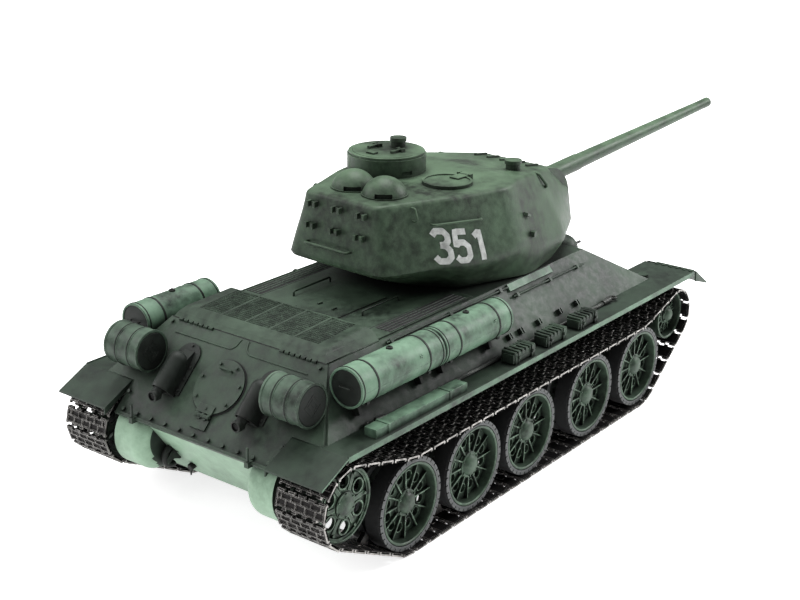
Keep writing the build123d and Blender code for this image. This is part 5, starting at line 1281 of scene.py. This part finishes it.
def tow_hooks():
    """Curved tow hooks with spring latches under the stern."""
    hooks = Solid()
    for side in (1, -1):
        y = side * 33.0
        bend = [radians(60 + 12 * k) for k in range(20)]
        path = [(-171.0 + 5.2 * cos(angle), y, 37.5 + 5.2 * sin(angle)) for angle in bend]
        hooks.tube(path, 1.7, 12)
        hooks.box(-172.0, -163.5, y - 2.6, y + 2.6, 39.5, 42.0)
        hooks.rod(1.5, (-169.0, y - 4.4, 41.0), (-169.0, y + 4.4, 41.0), 16, 0.3)
        hooks.rod(2.0, (-167.0, y - side * 9.0, 31.0), (-161.5, y - side * 9.0, 32.5), 16, 0.4)
        hooks.rod(0.5, (-166.0, y - side * 9.0, 31.5), (-166.0, y - side * 9.0, 26.5), 8)
    hooks.finish("tow_hooks", "hull_green", CAP_PAINT, bevel=0.2)


NUMBER_STROKE = 0.1
# hull x, z of the number's lower and then upper corners
NUMBER_CORNERS = ((-40.0, 129.0), (-3.0, 124.5), (-39.0, 146.5), (-4.0, 141.5))


# strokes of each figure, in a box half a unit wide and one tall
FIGURES = {"3": [[(0.0, 0.83), (0.12, 0.97), (0.38, 0.97), (0.5, 0.84), (0.5, 0.66), (0.38, 0.54), (0.22, 0.53)],
                 [(0.22, 0.53), (0.4, 0.5), (0.52, 0.36), (0.52, 0.16), (0.38, 0.03), (0.12, 0.03), (0.0, 0.17)]],
           "5": [[(0.5, 0.95), (0.07, 0.95), (0.04, 0.5), (0.16, 0.6), (0.36, 0.6), (0.52, 0.46), (0.52, 0.17),
                  (0.38, 0.03), (0.13, 0.03), (0.0, 0.15)]],
           "1": [[(0.08, 0.78), (0.32, 0.96), (0.32, 0.0)]]}


def numerals():
    """White three-figure number following the curve of both turret sides."""
    tree = BVHTree.FromObject(turret_casting, bpy.context.evaluated_depsgraph_get())
    for side in (-1, 1):
        bm = bmesh.new()
        for place, figure in enumerate("351"):
            for stroke in FIGURES[figure]:
                path = []
                for a, b in zip(stroke, stroke[1:]):
                    path += [Vector(a).lerp(Vector(b), k / 6) for k in range(6)]
                path.append(Vector(stroke[-1]))
                rows = []
                for k, point in enumerate(path):
                    along = (path[min(k + 1, len(path) - 1)] - path[max(k - 1, 0)]).normalized()
                    across = Vector((-along.y, along.x)) * NUMBER_STROKE
                    row = []
                    for share in (-1, -0.33, 0.33, 1):
                        spot = point + across * share
                        s = (place * 0.72 + 0.08 + spot.x) / 2.12
                        row.append(number_point(tree, side, s, spot.y))
                    rows.append([bm.verts.new(p) for p in row])
                for a, b in zip(rows, rows[1:]):
                    for k in range(3):
                        bm.faces.new((a[k], a[k + 1], b[k + 1], b[k]))
        bmesh.ops.solidify(bm, geom=bm.faces[:], thickness=0.00005)
        name = f"turret_number_{'left' if side > 0 else 'right'}"
        place_mesh(name, into_mesh(bm, name), "turret", NUMBER_WHITE)


def number_point(tree, side, s, t):
    """Point on the turret side for a place in the number: s along it, t up it."""
    (x0, z0), (x1, z1), (x2, z2), (x3, z3) = NUMBER_CORNERS
    if side > 0:
        s = 1 - s
    x = (x0 + (x1 - x0) * s) * (1 - t) + (x2 + (x3 - x2) * s) * t
    z = (z0 + (z1 - z0) * s) * (1 - t) + (z2 + (z3 - z2) * s) * t
    start = HULL @ Vector((x, side * 120.0, z))
    spot, normal, _, _ = tree.ray_cast(start, Vector((0, -side, 0)))
    return spot + normal * 0.00012


for detail in (mesh_panels, louvres, seams, exhaust_mouths, drums, canisters, cables, spare_links, tow_hooks,
               numerals):
    detail()

# ---------------------------------------------------------------- stage


# place in metres, side of the square in metres, watts
LIGHTS = (("key", (1.25, -0.85, 0.9), 0.6, 22.0), ("back", (-0.7, 1.3, 0.9), 0.9, 12.0),
          ("stern", (-1.4, 0.1, 1.0), 0.7, 6.0), ("top", (0.3, 0.2, 1.8), 1.0, 38.0))
CAMERA_PLACE = (-659.65, -494.51, 384.87)
CAMERA_AZIMUTH, CAMERA_ELEVATION, CAMERA_ROLL = radians(-52.540), radians(19.948), radians(0.711)


def studio():
    """Pale floor and soft lights."""
    floor_mesh = bpy.data.meshes.new("floor")
    reach, z = 6.0, -0.0002
    corners = [(x * reach, y * reach, z) for x, y in ((-1, -1), (1, -1), (1, 1), (-1, 1))]
    floor_mesh.from_pydata(corners, [], [(0, 1, 2, 3)])
    material, _, shader, _ = new_material("floor_white", 0.0, 0.2)
    shader.inputs["Base Color"].default_value = (0.8, 0.8, 0.8, 1)
    shader.inputs["Roughness"].default_value = 0.6
    shader.inputs["Emission Color"].default_value = (1.0, 1.0, 1.0, 1)
    shader.inputs["Emission Strength"].default_value = 0.78
    floor_mesh.materials.append(material)
    add_object("floor", floor_mesh)
    world = bpy.context.scene.world or bpy.data.worlds.new("world")
    bpy.context.scene.world = world
    world.use_nodes = True
    sky = world.node_tree.nodes["Background"].inputs
    sky["Color"].default_value = (1.0, 1.0, 1.0, 1)
    sky["Strength"].default_value = 0.30
    for name, place, size, power in LIGHTS:
        data = bpy.data.lights.new(name, "AREA")
        data.shape = "SQUARE"
        data.size = size
        data.energy = power
        light = add_object(name, data)
        light.location = place
        light.rotation_euler = (-Vector(place)).to_track_quat("-Z", "Y").to_euler()


def catalogue_camera():
    """Camera solved from the photograph, in the hull's frame."""
    azimuth, elevation, roll = CAMERA_AZIMUTH, CAMERA_ELEVATION, CAMERA_ROLL
    back = Vector((sin(azimuth) * cos(elevation), -cos(azimuth) * cos(elevation), sin(elevation)))
    across = Vector((0, 0, 1)).cross(back).normalized()
    upright = back.cross(across)
    right = across * cos(roll) + upright * sin(roll)
    up = upright * cos(roll) - across * sin(roll)
    data = bpy.data.cameras.new("camera")
    data.lens = 65.71
    data.sensor_width = 36.0
    data.clip_start = 0.01
    camera = add_object("camera", data)
    place = HULL @ Vector(CAMERA_PLACE)
    turn = Matrix((right, up, back)).transposed()
    camera.matrix_world = Matrix.Translation(place) @ turn.to_4x4()
    bpy.context.scene.camera = camera


studio()
catalogue_camera()
bpy.context.scene.view_settings.view_transform = "Standard"
